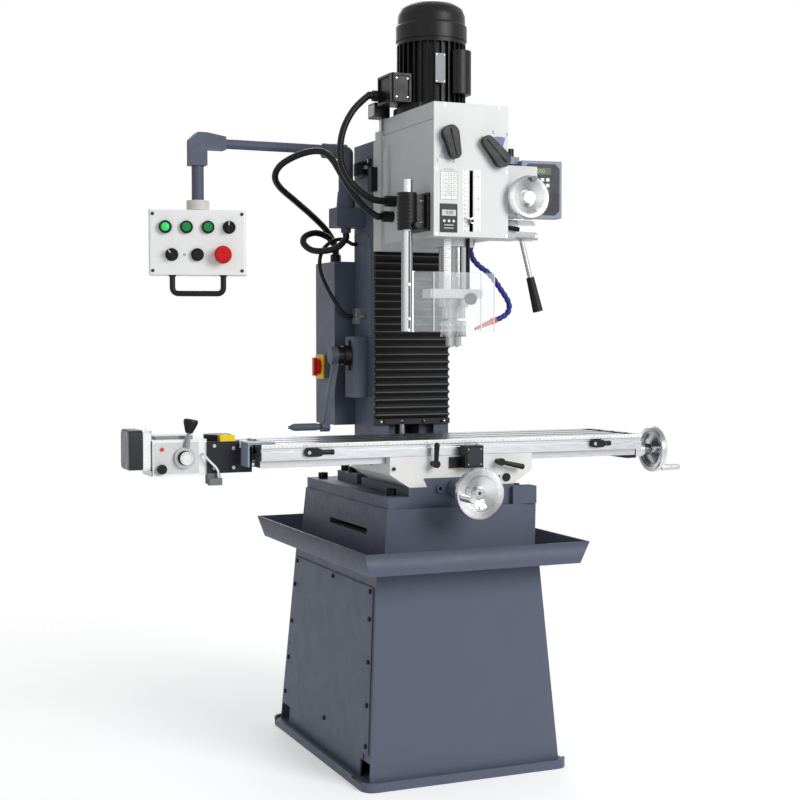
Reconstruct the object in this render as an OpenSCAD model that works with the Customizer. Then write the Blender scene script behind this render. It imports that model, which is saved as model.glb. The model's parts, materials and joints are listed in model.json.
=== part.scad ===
// Milling drilling machine on a stand, with power feed, pendant controls and chuck guard.
// Millimetres. Origin at the centre of the stand's foot on the floor, front towards -Y.

/* [Stand and tray] */
// Width of the stand's foot plate
foot_w = 538; // [500:1:600]
// Depth of the stand's foot plate
foot_d = 688; // [660:1:760]
// Height of the foot plate's rim
foot_rim_h = 22; // [18:1:30]
// Height of the stand's top above the floor
stand_h = 509; // [450:1:600]
// Width of the stand's body at the foot
stand_low_w = 500; // [480:1:510]
// Depth of the stand's body at the foot
stand_low_d = 656; // [630:1:665]
// Width of the stand's body under the tray
stand_top_w = 430; // [410:1:460]
// Depth of the stand's body under the tray
stand_top_d = 570; // [550:1:600]
// Sheet thickness of the stand
stand_wall = 4; // [3:0.5:6]
// Diameter of the anchor holes in the foot
anchor_d = 16; // [12:1:20]
// Spacing of the anchor holes across the machine
anchor_sx = 430; // [400:1:440]
// Spacing of the anchor holes front to back
anchor_sy = 580; // [540:1:590]
// Thickness of the access panel
panel_t = 3; // [2:0.5:5]
// Width of the tray over its rim
tray_w = 581; // [540:1:640]
// Depth of the tray over its rim
tray_d = 801; // [760:1:860]
// Height of the tray
tray_h = 54; // [40:1:80]
// How much wider the tray is at its rim than at its floor, on each side
tray_flare = 16; // [8:1:24]
// Sheet thickness of the tray
tray_wall = 4; // [3:0.5:6]

/* [Base and column] */
// Height of the base casting above the tray's floor
base_h = 165; // [150:1:190]
// Width of the base casting at its top
base_top_w = 386; // [370:1:400]
// Width of the base casting at its foot
base_low_w = 412; // [402:1:430]
// Distance of the base's front face from the centre
base_front = 300; // [298:1:320]
// Distance of the base's rear face from the centre
base_rear = 262; // [200:1:280]
// Width of the raised way under the saddle
way_w = 280; // [260:1:300]
// Height of the raised way above the base
way_h = 21; // [16:1:26]
// Width of the cross dovetail at its narrow bottom
dove_w = 182; // [160:1:190]
// Height of the cross dovetail
dove_h = 20.5; // [16:0.5:24]
// Overhang of a dovetail's slanted side
dove_slant = 10; // [6:1:12]
// Width of the column
column_w = 210; // [200:1:230]
// Depth of the column
column_d = 133; // [125:1:150]
// Height of the column's top above the floor
column_top = 1549; // [1500:1:1600]
// Depth of the dovetail channel in the column
channel_d = 28; // [22:1:30]
// Width of the channel's mouth
channel_w = 124; // [110:1:130]
// Diameter of the vertical leadscrew
z_screw_d = 28; // [22:1:32]
// Depth of the folding way cover
bellows_d = 10.5; // [8:0.5:11]
// Number of folds in the way cover
bellows_n = 22; // [10:1:30]

/* [Saddle and table] */
// Width of the saddle
saddle_w = 374; // [340:1:380]
// Depth of the saddle
saddle_d = 248; // [240:1:252]
// Width of the cross slide's foot, on each side of the dovetail
saddle_foot = 46; // [36:1:48]
// Length of the table
table_l = 1000; // [950:1:1050]
// Width of the table
table_w = 240; // [236:1:244]
// Thickness of the table slab
table_t = 38; // [34:1:50]
// Height of the table's lower ways
rail_h = 17; // [14:1:20]
// Width of the T-slots
tslot_w = 14; // [12:1:16]
// Spacing of the T-slots
tslot_pitch = 65; // [55:1:70]
// Diameter of the table and cross leadscrews
screw_d = 20; // [16:1:22]
// Diameter of the two feed handwheels
wheel_d = 119; // [100:1:126]
// Distance of the front handwheel's rim ahead of the base
front_wheel_reach = 140; // [138:1:160]
// Distance of the right handwheel's rim beyond the table
right_wheel_reach = 120; // [110:1:140]
// Height and depth of the power feed's gearbox
feed_box = 92; // [80:1:100]

/* [Head] */
// Width of the head casting
head_w = 193; // [185:1:200]
// Distance of the head's front face ahead of the column
head_reach = 349; // [345:1:352]
// Height of the head's underside above the floor
head_low = 1286.6; // [1280:0.1:1290]
// Height of the head casting
head_h = 270; // [262:1:280]
// Height of the lid
lid_h = 39.5; // [36:0.5:50]
// Wall of the head casting
head_wall = 9; // [7:1:11]
// Height of the head's carriage
slide_h = 276; // [260:1:280]
// Distance from the spindle's axis to the column's face
throat = 251; // [246:1:256]
// Distance between the motor's axis and the spindle's axis
motor_offset = 130; // [126:1:134]
// Diameter of the motor over its fins
motor_d = 170; // [150:1:176]
// Height of the motor body
motor_h = 167; // [150:1:190]
// Height of the fan cover
fan_cover_h = 93; // [80:1:110]
// Diameter of the quill
quill_d = 72; // [66:1:76]
// Length of the quill
quill_l = 200; // [190:1:206]
// Diameter of the spindle inside the quill
spindle_d = 28; // [20:1:32]
// Diameter of the chuck's sleeve
chuck_d = 60; // [50:1:64]
// Largest drill shank in the chuck
chuck_bore = 13; // [10:1:16]
// Diameter of the guard's post
post_d = 26; // [20:1:28]
// Height of the guard's screen
screen_h = 139; // [120:1:150]

/* [Controls] */
// Width of the pendant box
pendant_w = 236; // [236:1:260]
// Height of the pendant box
pendant_h = 158; // [154:1:180]
// Depth of the pendant box
pendant_d = 78; // [60:1:90]
// Turn of the pendant box towards the operator
pendant_turn = 17; // [0:1:30]
// Diameter of the pendant arm's tube
arm_tube_d = 24; // [20:1:28]
// Distance from the arm's post to the pendant
arm_reach = 391; // [340:1:440]
// Diameter of a push button
button_d = 22; // [18:1:24]
// Travel of a push button
button_travel = 4; // [3:0.5:5]
// Width of the electrical cabinet
cabinet_w = 320; // [300:1:360]
// Depth of the electrical cabinet
cabinet_d = 142; // [120:1:160]
// Height of the electrical cabinet
cabinet_h = 427; // [400:1:440]
// Diameter of the conduits
conduit_d = 17; // [12:1:18]
// Radius of the vertical crank
crank_r = 182; // [150:1:190]

/* [Hidden] */
$fn = 48;

// Clearances: running fits, slides, and soft or curved neighbours
fit = 0.05;
slide_gap = 0.1;
free_gap = 0.3;
eps = 0.01;

// Colours as the machine is painted
slate = [0.36, 0.385, 0.45];
pale = [0.88, 0.89, 0.89];
steel = [0.72, 0.73, 0.75];
black = [0.07, 0.07, 0.08];
grey = [0.55, 0.56, 0.58];

// Heights, worked upwards from the floor
foot_plate_t = foot_rim_h - 6;
tray_z = stand_h;
floor_z = tray_z + tray_wall;
base_top = floor_z + base_h;
way_z = base_top + way_h;
dove_z = way_z + dove_h;
saddle_z = way_z + slide_gap;
rail_z = saddle_z + 56.5;
slab_z = rail_z + rail_h;
table_top = slab_z + table_t;
lid_z = head_low + head_h;
lid_top = lid_z + lid_h;
motor_z = lid_top + 16;
fan_z = motor_z + motor_h;
slide_z = 1270;

// Places from front to back
column_y = 5;
column_rear = column_y + column_d;
spindle_y = column_y - throat;
motor_y = spindle_y + motor_offset;
head_front = column_y - head_reach;
head_rear = -43;
panel_plate_t = 2.5;
casting_front = head_front + panel_plate_t;
screw_y = column_y + channel_d + 39;
crank_z = base_top + 329;
saddle_front = -298;
saddle_rear = saddle_front + saddle_d;
table_y = -178;
table_front = table_y - table_w / 2;
x_screw_z = rail_z + 5;
cross_x = -20;
cross_z = way_z - 5;
gib_t = 4;
bellows_low = 831;
bellows_front = column_y - bellows_d;

// Feed and control places
feed_y = table_y;
feed_front = feed_y - feed_box / 2;
feed_low = x_screw_z - 20.6;
quill_low = 1125;
feed_shaft_y = spindle_y + quill_d / 2 + 16;
feed_shaft_z = head_low + 31.4;
hub_x = 185;
gear_shelf_z = 1340;
pinion_z = 1500;
lower_gear_z = 1468;
layshaft = [34.5, motor_y - 61.6];
tip_gap = 0.2;
motor_mesh = norm([layshaft[0], layshaft[1] - motor_y]);
spindle_mesh = norm([layshaft[0], layshaft[1] - spindle_y]);
post_x = -145;
post_y = -300;
arm_x = -147;
arm_y = 90;
arm_z = 1532;
drop_x = arm_x - arm_reach;
pendant_top = 1363;
cabinet_y = column_rear + 2;
cabinet_z = 824;
readout_x = 312;
readout_y = 62;

// A block with its corners rounded in plan, exact at any size
module rounded_block(w, d, h, r) {
  for (y = [-1, 1], x = [-1, 1])
    translate([x * (w / 2 - r), y * (d / 2 - r), 0]) cylinder(r = r, h = h);
  translate([-w / 2 + r, -d / 2, 0]) cube([w - 2 * r, d, h]);
  translate([-w / 2, -d / 2 + r, 0]) cube([w, d - 2 * r, h]);
}

// A block given by its two opposite corners
module box_between(a, b) { translate(a) cube(b - a); }

// Turned parts lie along X, -X, Y, -Y from a start point
module along_x(p) { translate(p) rotate([0, 90, 0]) children(); }
module along_neg_x(p) { translate(p) rotate([0, -90, 0]) children(); }
module along_y(p) { translate(p) rotate([-90, 0, 0]) children(); }
module along_neg_y(p) { translate(p) rotate([90, 0, 0]) children(); }

// A prism along Y from y0 to y1 with its outline in X and Z
module prism_y(y0, y1, points) {
  translate([0, y1, 0]) rotate([90, 0, 0]) linear_extrude(y1 - y0) polygon(points);
}

// A prism along X from x0 to x1 with its outline in Y and Z
module prism_x(x0, x1, points) {
  translate([x0, 0, 0]) rotate([90, 0, 90]) linear_extrude(x1 - x0) polygon(points);
}

// A socket head screw standing on z = 0 with its shank below
module socket_screw(d, shank) {
  difference() {
    cylinder(d = 1.6 * d, h = d, $fn = 24);
    translate([0, 0, d / 2]) cylinder(d = 0.85 * d, h = d, $fn = 6);
  }
  translate([0, 0, -shank]) cylinder(d = d, h = shank + eps, $fn = 24);
}

// A straight-toothed gear outline whose tips stay on the given radius
module gear(teeth, tip_r, depth, width, bore) {
  step = 360 / teeth;
  outline = [for (i = [0:teeth - 1], k = [0:3])
    let (r = k == 0 || k == 3 ? tip_r - depth : tip_r,
         a = step * i + step * [0.08, 0.22, 0.48, 0.62][k])
    [r * cos(a), r * sin(a)]];
  linear_extrude(width) difference() {
    polygon(outline);
    if (bore > 0) circle(d = bore);
  }
}

// A handwheel with a coned web, bored, turned about Z with the rim ahead at +Z
wheel_hub_back = 10;
module handwheel(d, hub_d, bore, reach) {
  rotate_extrude($fn = 64) polygon([[bore / 2, 0], [hub_d / 2, 0], [hub_d / 2, reach * 0.35],
    [hub_d / 2 - 4, reach * 0.35 + 4], [hub_d / 2 - 4, reach - 19], [d / 2 - 19, reach - 8],
    [d / 2 - 14, reach - 9], [d / 2 - 12, reach - 18], [d / 2 - 3, reach - 18], [d / 2, reach - 15],
    [d / 2, reach - 3], [d / 2 - 3, reach], [d / 2 - 17, reach], [d / 2 - 19, reach - 3],
    [bore / 2 + 6, reach - 13], [bore / 2 + 3, reach - wheel_hub_back], [bore / 2, reach - wheel_hub_back]]);
}

// A turning grip on its pin, standing on z = 0
module wheel_grip(d, h) {
  cylinder(d = d * 0.55, h = 6);
  translate([0, 0, 6]) rotate_extrude($fn = 32) polygon([[0, 0], [d * 0.4, 0], [d * 0.5, 3],
    [d * 0.45, h - 9], [d * 0.36, h - 6], [0, h - 6]]);
}

// Tube swept along a route of points, one ring at each point
function unit(v) = v / norm(v);
function side_of(t) = unit(cross(t, abs(t[2]) > 0.9 ? [0, 1, 0] : [0, 0, 1]));
module tube(route, d, sides) {
  n = len(route);
  tangents = [for (i = [0:n - 1]) unit(route[min(i + 1, n - 1)] - route[max(i - 1, 0)])];
  rings = [for (i = [0:n - 1])
    let (u = side_of(tangents[i]), v = cross(u, tangents[i]))
    for (k = [0:sides - 1]) route[i] + d / 2 * (cos(360 * k / sides) * u + sin(360 * k / sides) * v)];
  walls = [for (i = [0:n - 2], k = [0:sides - 1])
    let (a = i * sides + k, b = i * sides + (k + 1) % sides) [a, b, b + sides, a + sides]];
  tris = [for (w = walls) each [[w[0], w[1], w[2]], [w[0], w[2], w[3]]]];
  ends = [[for (k = [sides - 1:-1:0]) k], [for (k = [0:sides - 1]) (n - 1) * sides + k]];
  polyhedron(rings, concat(tris, ends));
}

// Routes of the hoses, chosen by hand
motor_conduit = [[-147, -92, 1644], [-152, -92, 1644], [-158, -92, 1644], [-204, -106, 1602],
  [-233, -112, 1548], [-240, -114, 1490], [-228, -116, 1449], [-198, -118, 1412], [-162, -118, 1391],
  [-138, -118, 1386], [-131, -118, 1386], [-124, -118, 1386]];
head_conduit = [[-124, -99, 1350], [-131, -99, 1350], [-138, -99, 1350], [-166, -86, 1372],
  [-192, -66, 1412], [-211, -42, 1457], [-224, -16, 1494], [-240, 6, 1514], [-266, 24, 1516],
  [-302, 40, 1504], [-333, 60, 1483], [-340, 84, 1458], [-318, 112, 1434], [-262, 146, 1402],
  [-208, 180, 1372], [-160, 204, 1338], [-132, 216, 1304], [-126, 218, 1284], [-126, 218, 1278],
  [-126, 218, 1271]];
pendant_conduit = [[-147, 90, 1322], [-147, 90, 1316], [-147, 90, 1309], [-166, 95, 1286],
  [-196, 108, 1276], [-226, 128, 1278], [-242, 148, 1296], [-232, 162, 1316], [-200, 172, 1326],
  [-164, 178, 1316], [-144, 180, 1294], [-142, 180, 1284], [-142, 180, 1278], [-142, 180, 1271]];
switch_lead = [[-105, 120, 1296], [-111, 120, 1296], [-118, 120, 1296], [-144, 126, 1308],
  [-172, 130, 1301], [-196, 132, 1278], [-204, 132, 1242], [-195, 132, 1206], [-172, 132, 1162],
  [-148, 128, 1124], [-132, 122, 1109], [-123, 120, 1108], [-117.3, 120, 1108]];
coolant_route = [[56, -225, 1276], [56, -225, 1269], [56, -225, 1261], [63, -225, 1243],
  [80, -225, 1226], [103, -225, 1211], [122, -225, 1192], [138, -225, 1171], [151, -225, 1154],
  [160, -225, 1139], [162, -225, 1124], [155, -226, 1111], [138, -228, 1101], [124, -230, 1096],
  [118, -231, 1094]];
feed_cable_route = [[-616, -224, 789], [-616, -229, 789], [-616, -234, 789], [-610, -239, 780],
  [-600, -240, 769], [-590, -240, 759], [-584, -239, 749], [-583, -238, 741], [-583, -238, 737],
  [-583, -238, 734.3]];

// Half size of the stand's body at a height
function stand_x(z) = (stand_low_w + (stand_top_w - stand_low_w) * z / stand_h) / 2;
function stand_y(z) = (stand_low_d + (stand_top_d - stand_low_d) * z / stand_h) / 2;

// Tapered block between two plan sizes
module taper(w0, d0, z0, w1, d1, z1) {
  hull() {
    translate([-w0 / 2, -d0 / 2, z0]) cube([w0, d0, eps]);
    translate([-w1 / 2, -d1 / 2, z1 - eps]) cube([w1, d1, eps]);
  }
}

module stand_body(inset, z0, z1) {
  taper(2 * stand_x(z0) - inset, 2 * stand_y(z0) - inset, z0,
    2 * stand_x(z1) - inset, 2 * stand_y(z1) - inset, z1);
}

window_low = 96;
window_high = stand_h - 76;
module stand_cabinet() {
  color(slate) difference() {
    union() {
      difference() {
        rounded_block(foot_w, foot_d, foot_rim_h, 30);
        translate([0, 0, foot_plate_t]) rounded_block(foot_w - 12, foot_d - 12, foot_rim_h, 25);
      }
      stand_body(0, foot_plate_t, stand_h);
    }
    difference() {
      stand_body(2 * stand_wall, foot_plate_t, stand_h - stand_wall);
      for (y = [-1, 1]) translate([-30, y * 200 - 3, stand_h - 44]) cube([60, 6, 44]);
    }
    for (x = [-1, 1], y = [-1, 1]) translate([x * anchor_sx / 2, y * anchor_sy / 2, -1])
      cylinder(d = anchor_d, h = foot_rim_h + 2);
    box_between([-stand_low_w, -stand_y(window_high) + 70, window_low],
      [-stand_x(window_high) + 30, stand_y(window_high) - 70, window_high]);
    for (x = [-1, 1], y = [-1, 1])
      translate([x * stand_low_w / 2 - 30, y * (stand_y(0) - 40) - 30, foot_plate_t]) cube([60, 60, 44]);
  }
}

panel_tilt = atan((stand_low_w - stand_top_w) / 2 / stand_h);
panel_low = 62;
panel_high = stand_h - 43;
panel_edge = 14;
function panel_y(z) = stand_y(z) - panel_edge;
module on_left_face(y, z, lift) {
  translate([-stand_x(z), y, z]) rotate([0, panel_tilt, 0]) translate([-lift, 0, 0]) rotate([0, -90, 0])
    children();
}
module stand_side_panel() {
  color(slate * 1.12) translate([-stand_x(0) - 0.2, 0, 0]) rotate([0, panel_tilt, 0])
    translate([-panel_t, 0, 0]) difference() {
      prism_x(0, panel_t, [[-panel_y(panel_low), panel_low], [panel_y(panel_low), panel_low],
        [panel_y(panel_high), panel_high], [-panel_y(panel_high), panel_high]]);
      for (s = [-1, 1]) translate([-1, s * (panel_y(panel_low) - 14) - 18, panel_low - 1])
        cube([panel_t + 2, 36, 16]);
    }
}

panel_screw_z = [panel_low + 34, 190, 290, 390, panel_high - 12];
tray_bolt_x = 165;
base_bolt_y = [-250, 215];
module frame_screws() {
  color(black) {
    for (z = panel_screw_z, s = [-1, 1]) on_left_face(s * (panel_y(z) - 14), z, panel_t + 0.3)
      cylinder(d = 11, h = 4, $fn = 24);
    for (z = [panel_screw_z[0], panel_screw_z[4]]) on_left_face(-12, z, panel_t + 0.3)
      cylinder(d = 11, h = 4, $fn = 24);
    for (y = base_bolt_y, s = [-1, 1]) translate([s * tray_bolt_x, y, base_top]) socket_screw(16, 0);
    for (x = [-1, 1], y = [column_rear - 30, column_rear + 22])
      translate([x * (column_w / 2 + 18), y, base_top + 25]) socket_screw(14, 0);
    for (x = [-80, -28, 28, 80]) along_neg_y([x, bellows_front, bellows_low + 6])
      cylinder(d = 7, h = 3, $fn = 16);
  }
}

module tray_shape(inset, z0) {
  taper(tray_w - 2 * tray_flare - inset, tray_d - 2 * tray_flare - inset, z0,
    tray_w - inset, tray_d - inset, tray_z + tray_h);
}
module chip_tray() {
  color(slate) difference() {
    tray_shape(0, tray_z);
    translate([0, 0, tray_wall]) tray_shape(2 * tray_wall, tray_z);
    translate([190, 330, tray_z - 1]) cylinder(d = 30, h = 20);
  }
}

step_z = base_top - 27;
slot_h = 14;
slot_low = floor_z + 66;
boss_l = 35;
boss_d = 46;
module base_casting() {
  lw = base_low_w / 2;
  tw = base_top_w / 2;
  color(slate) difference() {
    union() {
      hull() {
        translate([0, 0, floor_z]) linear_extrude(eps) polygon([[-lw, -base_front - 5],
          [-lw + 58, -base_front - 25], [lw - 72, -base_front - 25], [lw - 16, -base_front - 5],
          [lw, -base_front + 20], [lw, base_rear + 18], [-lw, base_rear + 18]]);
        translate([0, 0, step_z]) linear_extrude(eps) polygon([[-tw - 3, -base_front - 3],
          [-tw + 50, -base_front - 16], [tw - 60, -base_front - 16], [tw + 3, -base_front - 3],
          [tw + 3, base_rear + 3], [-tw - 3, base_rear + 3]]);
      }
      box_between([-tw, -base_front, step_z], [tw, base_rear, base_top]);
      box_between([-way_w / 2, -base_front, base_top - eps], [way_w / 2, column_y - 3, way_z]);
      prism_y(-base_front, column_y - 3, [[-dove_w / 2, way_z - eps], [dove_w / 2, way_z - eps],
        [dove_w / 2 + dove_slant, dove_z], [-dove_w / 2 - dove_slant, dove_z]]);
      along_neg_y([cross_x, -base_front + 1, cross_z]) cylinder(d = boss_d, h = boss_l + 1);
      along_neg_y([-62, -base_front + 1, cross_z + 1]) cylinder(d = 18, h = 9);
      box_between([tw - 65, -base_front - 14, base_top - 27], [tw - 1, -base_front + 1, base_top + 15]);
      box_between([tw - 65, -base_front, base_top - eps], [tw - 1, -base_front + 24, base_top + 15]);
    }
    box_between([-tw + 20, -base_front + 20, floor_z - 1], [tw - 20, base_rear - 20, base_top - 30]);
    box_between([-lw - 1, -186, slot_low], [-tw + 30, 68, slot_low + slot_h]);
    along_neg_y([cross_x, 1, cross_z]) cylinder(d = 34, h = base_front - 12);
    along_neg_y([cross_x, 0, cross_z]) cylinder(d = screw_d + 2 * fit, h = base_front + boss_l + 10);
    box_between([cross_x - 14, -base_front + 10, cross_z], [cross_x + 14, column_y, dove_z + 1]);
    along_neg_y([-62, -base_front + 2, cross_z + 1]) cylinder(d = 9, h = 12);
  }
}

recess_w = 68;
channel_slant = 12;
module column_channel() {
  polygon([[-channel_w / 2, column_y - 1], [channel_w / 2, column_y - 1],
    [channel_w / 2 + channel_slant, column_y + channel_d],
    [-channel_w / 2 - channel_slant, column_y + channel_d]]);
}
module column() {
  color(slate) difference() {
    union() {
      box_between([-column_w / 2, column_y, base_top], [column_w / 2, column_rear, column_top]);
      box_between([-column_w / 2 - 34, column_y + 30, base_top],
        [column_w / 2 + 34, column_rear + 38, base_top + 25]);
    }
    translate([0, 0, base_top + 60]) linear_extrude(column_top - base_top) column_channel();
    box_between([-recess_w / 2, column_y + channel_d - 1, base_top + 60],
      [recess_w / 2, screw_y + 32, column_top - 10]);
    translate([0, screw_y, base_top + 40]) cylinder(d = z_screw_d + 2 * fit, h = column_top);
    along_neg_x([0, screw_y, crank_z]) cylinder(d = 24 + 2 * fit, h = column_w);
    for (s = [-1, 1]) box_between([s * 70 - 22, screw_y, base_top + 60],
      [s * 70 + 22, column_rear - 12, column_top - 30]);
  }
}

bevel_r = 24;
module z_leadscrew() {
  color(steel) {
    translate([0, screw_y, base_top + 42]) cylinder(d = z_screw_d, h = column_top - base_top - 36);
    translate([0, screw_y, crank_z - bevel_r - 14]) rotate_extrude() polygon([[z_screw_d / 2 - 1, 0],
      [bevel_r, 0], [bevel_r, 7], [bevel_r - 8, 14], [z_screw_d / 2 - 1, 14]]);
  }
}

bracket_t = 40;
flange_d = 52;
flange_t = 20;
crank_face = -column_w / 2 - bracket_t - flange_t;
module z_crank_bracket() {
  color(slate) difference() {
    box_between([-column_w / 2 - bracket_t, screw_y - 29, crank_z - 108],
      [-column_w / 2, screw_y + 29, crank_z + 48]);
    along_neg_x([0, screw_y, crank_z]) cylinder(d = 24 + 2 * fit, h = column_w);
  }
  color(black) difference() {
    union() {
      along_neg_x([crank_face + flange_t, screw_y, crank_z]) cylinder(d = flange_d, h = flange_t);
      for (a = [0, 180]) translate([crank_face + flange_t - 6, screw_y, crank_z]) rotate([a, 0, 0])
        translate([0, -9, 0]) cube([6, 18, 38]);
    }
    along_neg_x([0, screw_y, crank_z]) cylinder(d = 24 + 2 * fit, h = column_w);
  }
}

crank_splay = 29;
grip_l = 78;
module z_crank() {
  color(steel) along_neg_x([-17, screw_y, crank_z]) cylinder(d = 24, h = -crank_face - 17 + 20);
  color(steel) along_neg_x([-17, screw_y, crank_z]) rotate_extrude() polygon([[0, 1], [12, 0],
    [20, 6], [20, 15], [0, 15]]);
  color(slate) {
    along_neg_x([crank_face - free_gap, screw_y, crank_z]) difference() {
      cylinder(d = 44, h = 30);
      translate([0, 0, -1]) cylinder(d = 23.9, h = 40);
    }
    hull() {
      along_neg_x([crank_face - 12, screw_y, crank_z - 14]) cylinder(d = 22, h = 12, $fn = 24);
      along_neg_x([crank_face - 12 - crank_splay, screw_y, crank_z - crank_r])
        cylinder(d = 20, h = 12, $fn = 24);
    }
    along_neg_x([crank_face - 8 - crank_splay, screw_y, crank_z - crank_r]) cylinder(d = 26, h = 22);
    along_neg_x([crank_face - 8 - crank_splay, screw_y, crank_z - crank_r]) cylinder(d = 9, h = 30 + grip_l);
  }
  color(slate) along_neg_x([crank_face - 31 - crank_splay, screw_y, crank_z - crank_r])
    rotate_extrude($fn = 32) polygon([[4.6, 0], [7, 0], [9.5, 12], [9.5, grip_l - 8], [7, grip_l],
      [4.6, grip_l]]);
}

module way_bellows() {
  top = slide_z - free_gap;
  pitch = (top - bellows_low - 14) / bellows_n;
  x = column_w / 2 - 1;
  color(black) prism_x(-x, x, concat([[column_y - 0.3, bellows_low], [bellows_front, bellows_low],
    [bellows_front, bellows_low + 14]],
    [for (i = [0:bellows_n - 1]) each [[bellows_front + 5, bellows_low + 14 + pitch * (i + 0.15)],
      [bellows_front, bellows_low + 14 + pitch * (i + 0.6)]]],
    [[bellows_front, top], [column_y - 0.3, top]]));
}

switch_y = 52;
upper_switch_z = 1464;
lower_switch_z = 1106;
module limit_switches() {
  x = -column_w / 2;
  color(black) {
    box_between([x - 6, switch_y - 34, upper_switch_z], [x, switch_y + 64, upper_switch_z + 42]);
    box_between([x - 20, switch_y - 14, upper_switch_z + 4], [x - 6, switch_y + 40, upper_switch_z + 36]);
    box_between([x - 12, 96, lower_switch_z - 18], [x, 126, lower_switch_z + 22]);
  }
  color("goldenrod") along_neg_y([x - 12, switch_y - 14, upper_switch_z + 20]) cylinder(d = 10, h = 14);
  color(steel) along_neg_y([x - 7, 96, lower_switch_z]) cylinder(d = 10, h = 40);
}

cab_x = cabinet_w / 2;
cab_rear = cabinet_y + cabinet_d;
cab_top = cabinet_z + cabinet_h;
main_y = cabinet_y + 74;
main_z = 976;
main_box = 12;
module cabinet_gland(p) {
  translate([p[0], p[1], cab_top]) difference() {
    cylinder(d = conduit_d + 10, h = 20);
    translate([0, 0, 16]) cylinder(d = conduit_d - 6, h = 20);
  }
}
module electrical_cabinet() {
  color(slate) {
    difference() {
      box_between([-cab_x, cabinet_y, cabinet_z], [cab_x, cab_rear - 4, cab_top]);
      box_between([-cab_x + 3, cabinet_y + 3, cabinet_z + 3], [cab_x - 3, cab_rear, cab_top - 3]);
      along_x([-cab_x - 5, main_y, main_z]) cylinder(d = 20, h = 15);
    }
    for (z = [cabinet_z + 50, cab_top - 90])
      box_between([-60, column_rear, z], [60, cabinet_y, z + 40]);
  }
  color(steel) box_between([-130, cabinet_y + 3, cabinet_z + 30], [130, cabinet_y + 9, cab_top - 30]);
  color(black) {
    for (i = [0:3]) box_between([-105 + 52 * i, cabinet_y + 9, 1120], [-63 + 52 * i, cabinet_y + 75, 1190]);
    for (i = [0:1]) box_between([-105 + 52 * i, cabinet_y + 9, 1010], [-63 + 52 * i, cabinet_y + 65, 1070]);
    box_between([20, cabinet_y + 9, 870], [105, cabinet_y + 95, 960]);
    cabinet_gland(head_conduit[len(head_conduit) - 1]);
    cabinet_gland(pendant_conduit[len(pendant_conduit) - 1]);
  }
  color("silver") difference() {
    box_between([-cab_x - main_box, main_y - 26, main_z - 30], [-cab_x, main_y + 26, main_z + 30]);
    along_x([-cab_x - 40, main_y, main_z]) cylinder(d = 14 + 2 * fit, h = 60);
  }
  color("gold") difference() {
    box_between([-cab_x - main_box - 4, main_y - 30, main_z - 32],
      [-cab_x - main_box, main_y + 30, main_z + 32]);
    along_x([-cab_x - 40, main_y, main_z]) cylinder(d = 14 + 2 * fit, h = 60);
  }
}

module cabinet_door() {
  color(slate * 1.1) {
    box_between([-cab_x, cab_rear - 3.6, cabinet_z], [cab_x, cab_rear, cab_top]);
    for (z = [cabinet_z + 60, cab_top - 100])
      translate([cab_x + 5, cab_rear - 2, z]) cylinder(d = 9, h = 40);
    for (z = [cabinet_z + 60, cab_top - 100])
      box_between([cab_x - 4, cab_rear - 3.6, z], [cab_x + 5, cab_rear, z + 40]);
  }
  color(black) for (z = [cabinet_z + 90, cab_top - 90])
    along_y([-cab_x + 22, cab_rear, z]) cylinder(d = 20, h = 5);
}

knob_x = -cab_x - main_box - 4 - free_gap;
module main_switch_knob() {
  color("red") {
    along_neg_x([knob_x, main_y, main_z]) cylinder(d = 42, h = 8);
    box_between([knob_x - 17, main_y - 7, main_z - 24], [knob_x - 7, main_y + 7, main_z + 24]);
    along_x([knob_x - 4, main_y, main_z]) cylinder(d = 14, h = main_box + 18);
  }
}

block_h = 50;
block_z = 1335;
collar_z = 1428;
module arm_bearing_block() {
  color(slate) difference() {
    union() {
      box_between([arm_x - 36, arm_y - 30, block_z], [-column_w / 2, arm_y + 30, block_z + block_h]);
      translate([arm_x, arm_y, block_z + block_h - 1])
        cylinder(d1 = 50, d2 = 42, h = collar_z - block_z - block_h + 1);
    }
    translate([arm_x, arm_y, block_z + 12]) cylinder(d = 30 + 2 * fit, h = 200);
  }
  color(black) translate([arm_x, arm_y, block_z - 13]) difference() {
    cylinder(d = conduit_d + 9, h = 13);
    translate([0, 0, -1]) cylinder(d = conduit_d - 5, h = 4);
  }
}

module pendant_arm() {
  color(slate) {
    translate([arm_x, arm_y, block_z + 14]) cylinder(d = 30, h = arm_z - block_z - 14);
    translate([arm_x, arm_y, collar_z + free_gap]) cylinder(d = 38, h = arm_z - collar_z - 10);
    translate([arm_x, arm_y, arm_z - 8]) sphere(d = 38);
    along_neg_x([arm_x, arm_y, arm_z - 3]) cylinder(d = 38, h = 63);
    along_neg_x([arm_x, arm_y, arm_z]) cylinder(d = arm_tube_d, h = arm_reach);
    prism_y(arm_y - 19, arm_y + 19, [[drop_x - 22, arm_z - 57], [drop_x + 20, arm_z - 57],
      [drop_x + 20, arm_z - 16], [drop_x + 68, arm_z - 16], [drop_x + 68, arm_z + 16],
      [drop_x + 20, arm_z + 24], [drop_x - 4, arm_z + 24], [drop_x - 22, arm_z + 6]]);
    translate([drop_x, arm_y, pendant_top + 12]) cylinder(d = 30, h = arm_z - pendant_top - 40);
  }
}

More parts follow.
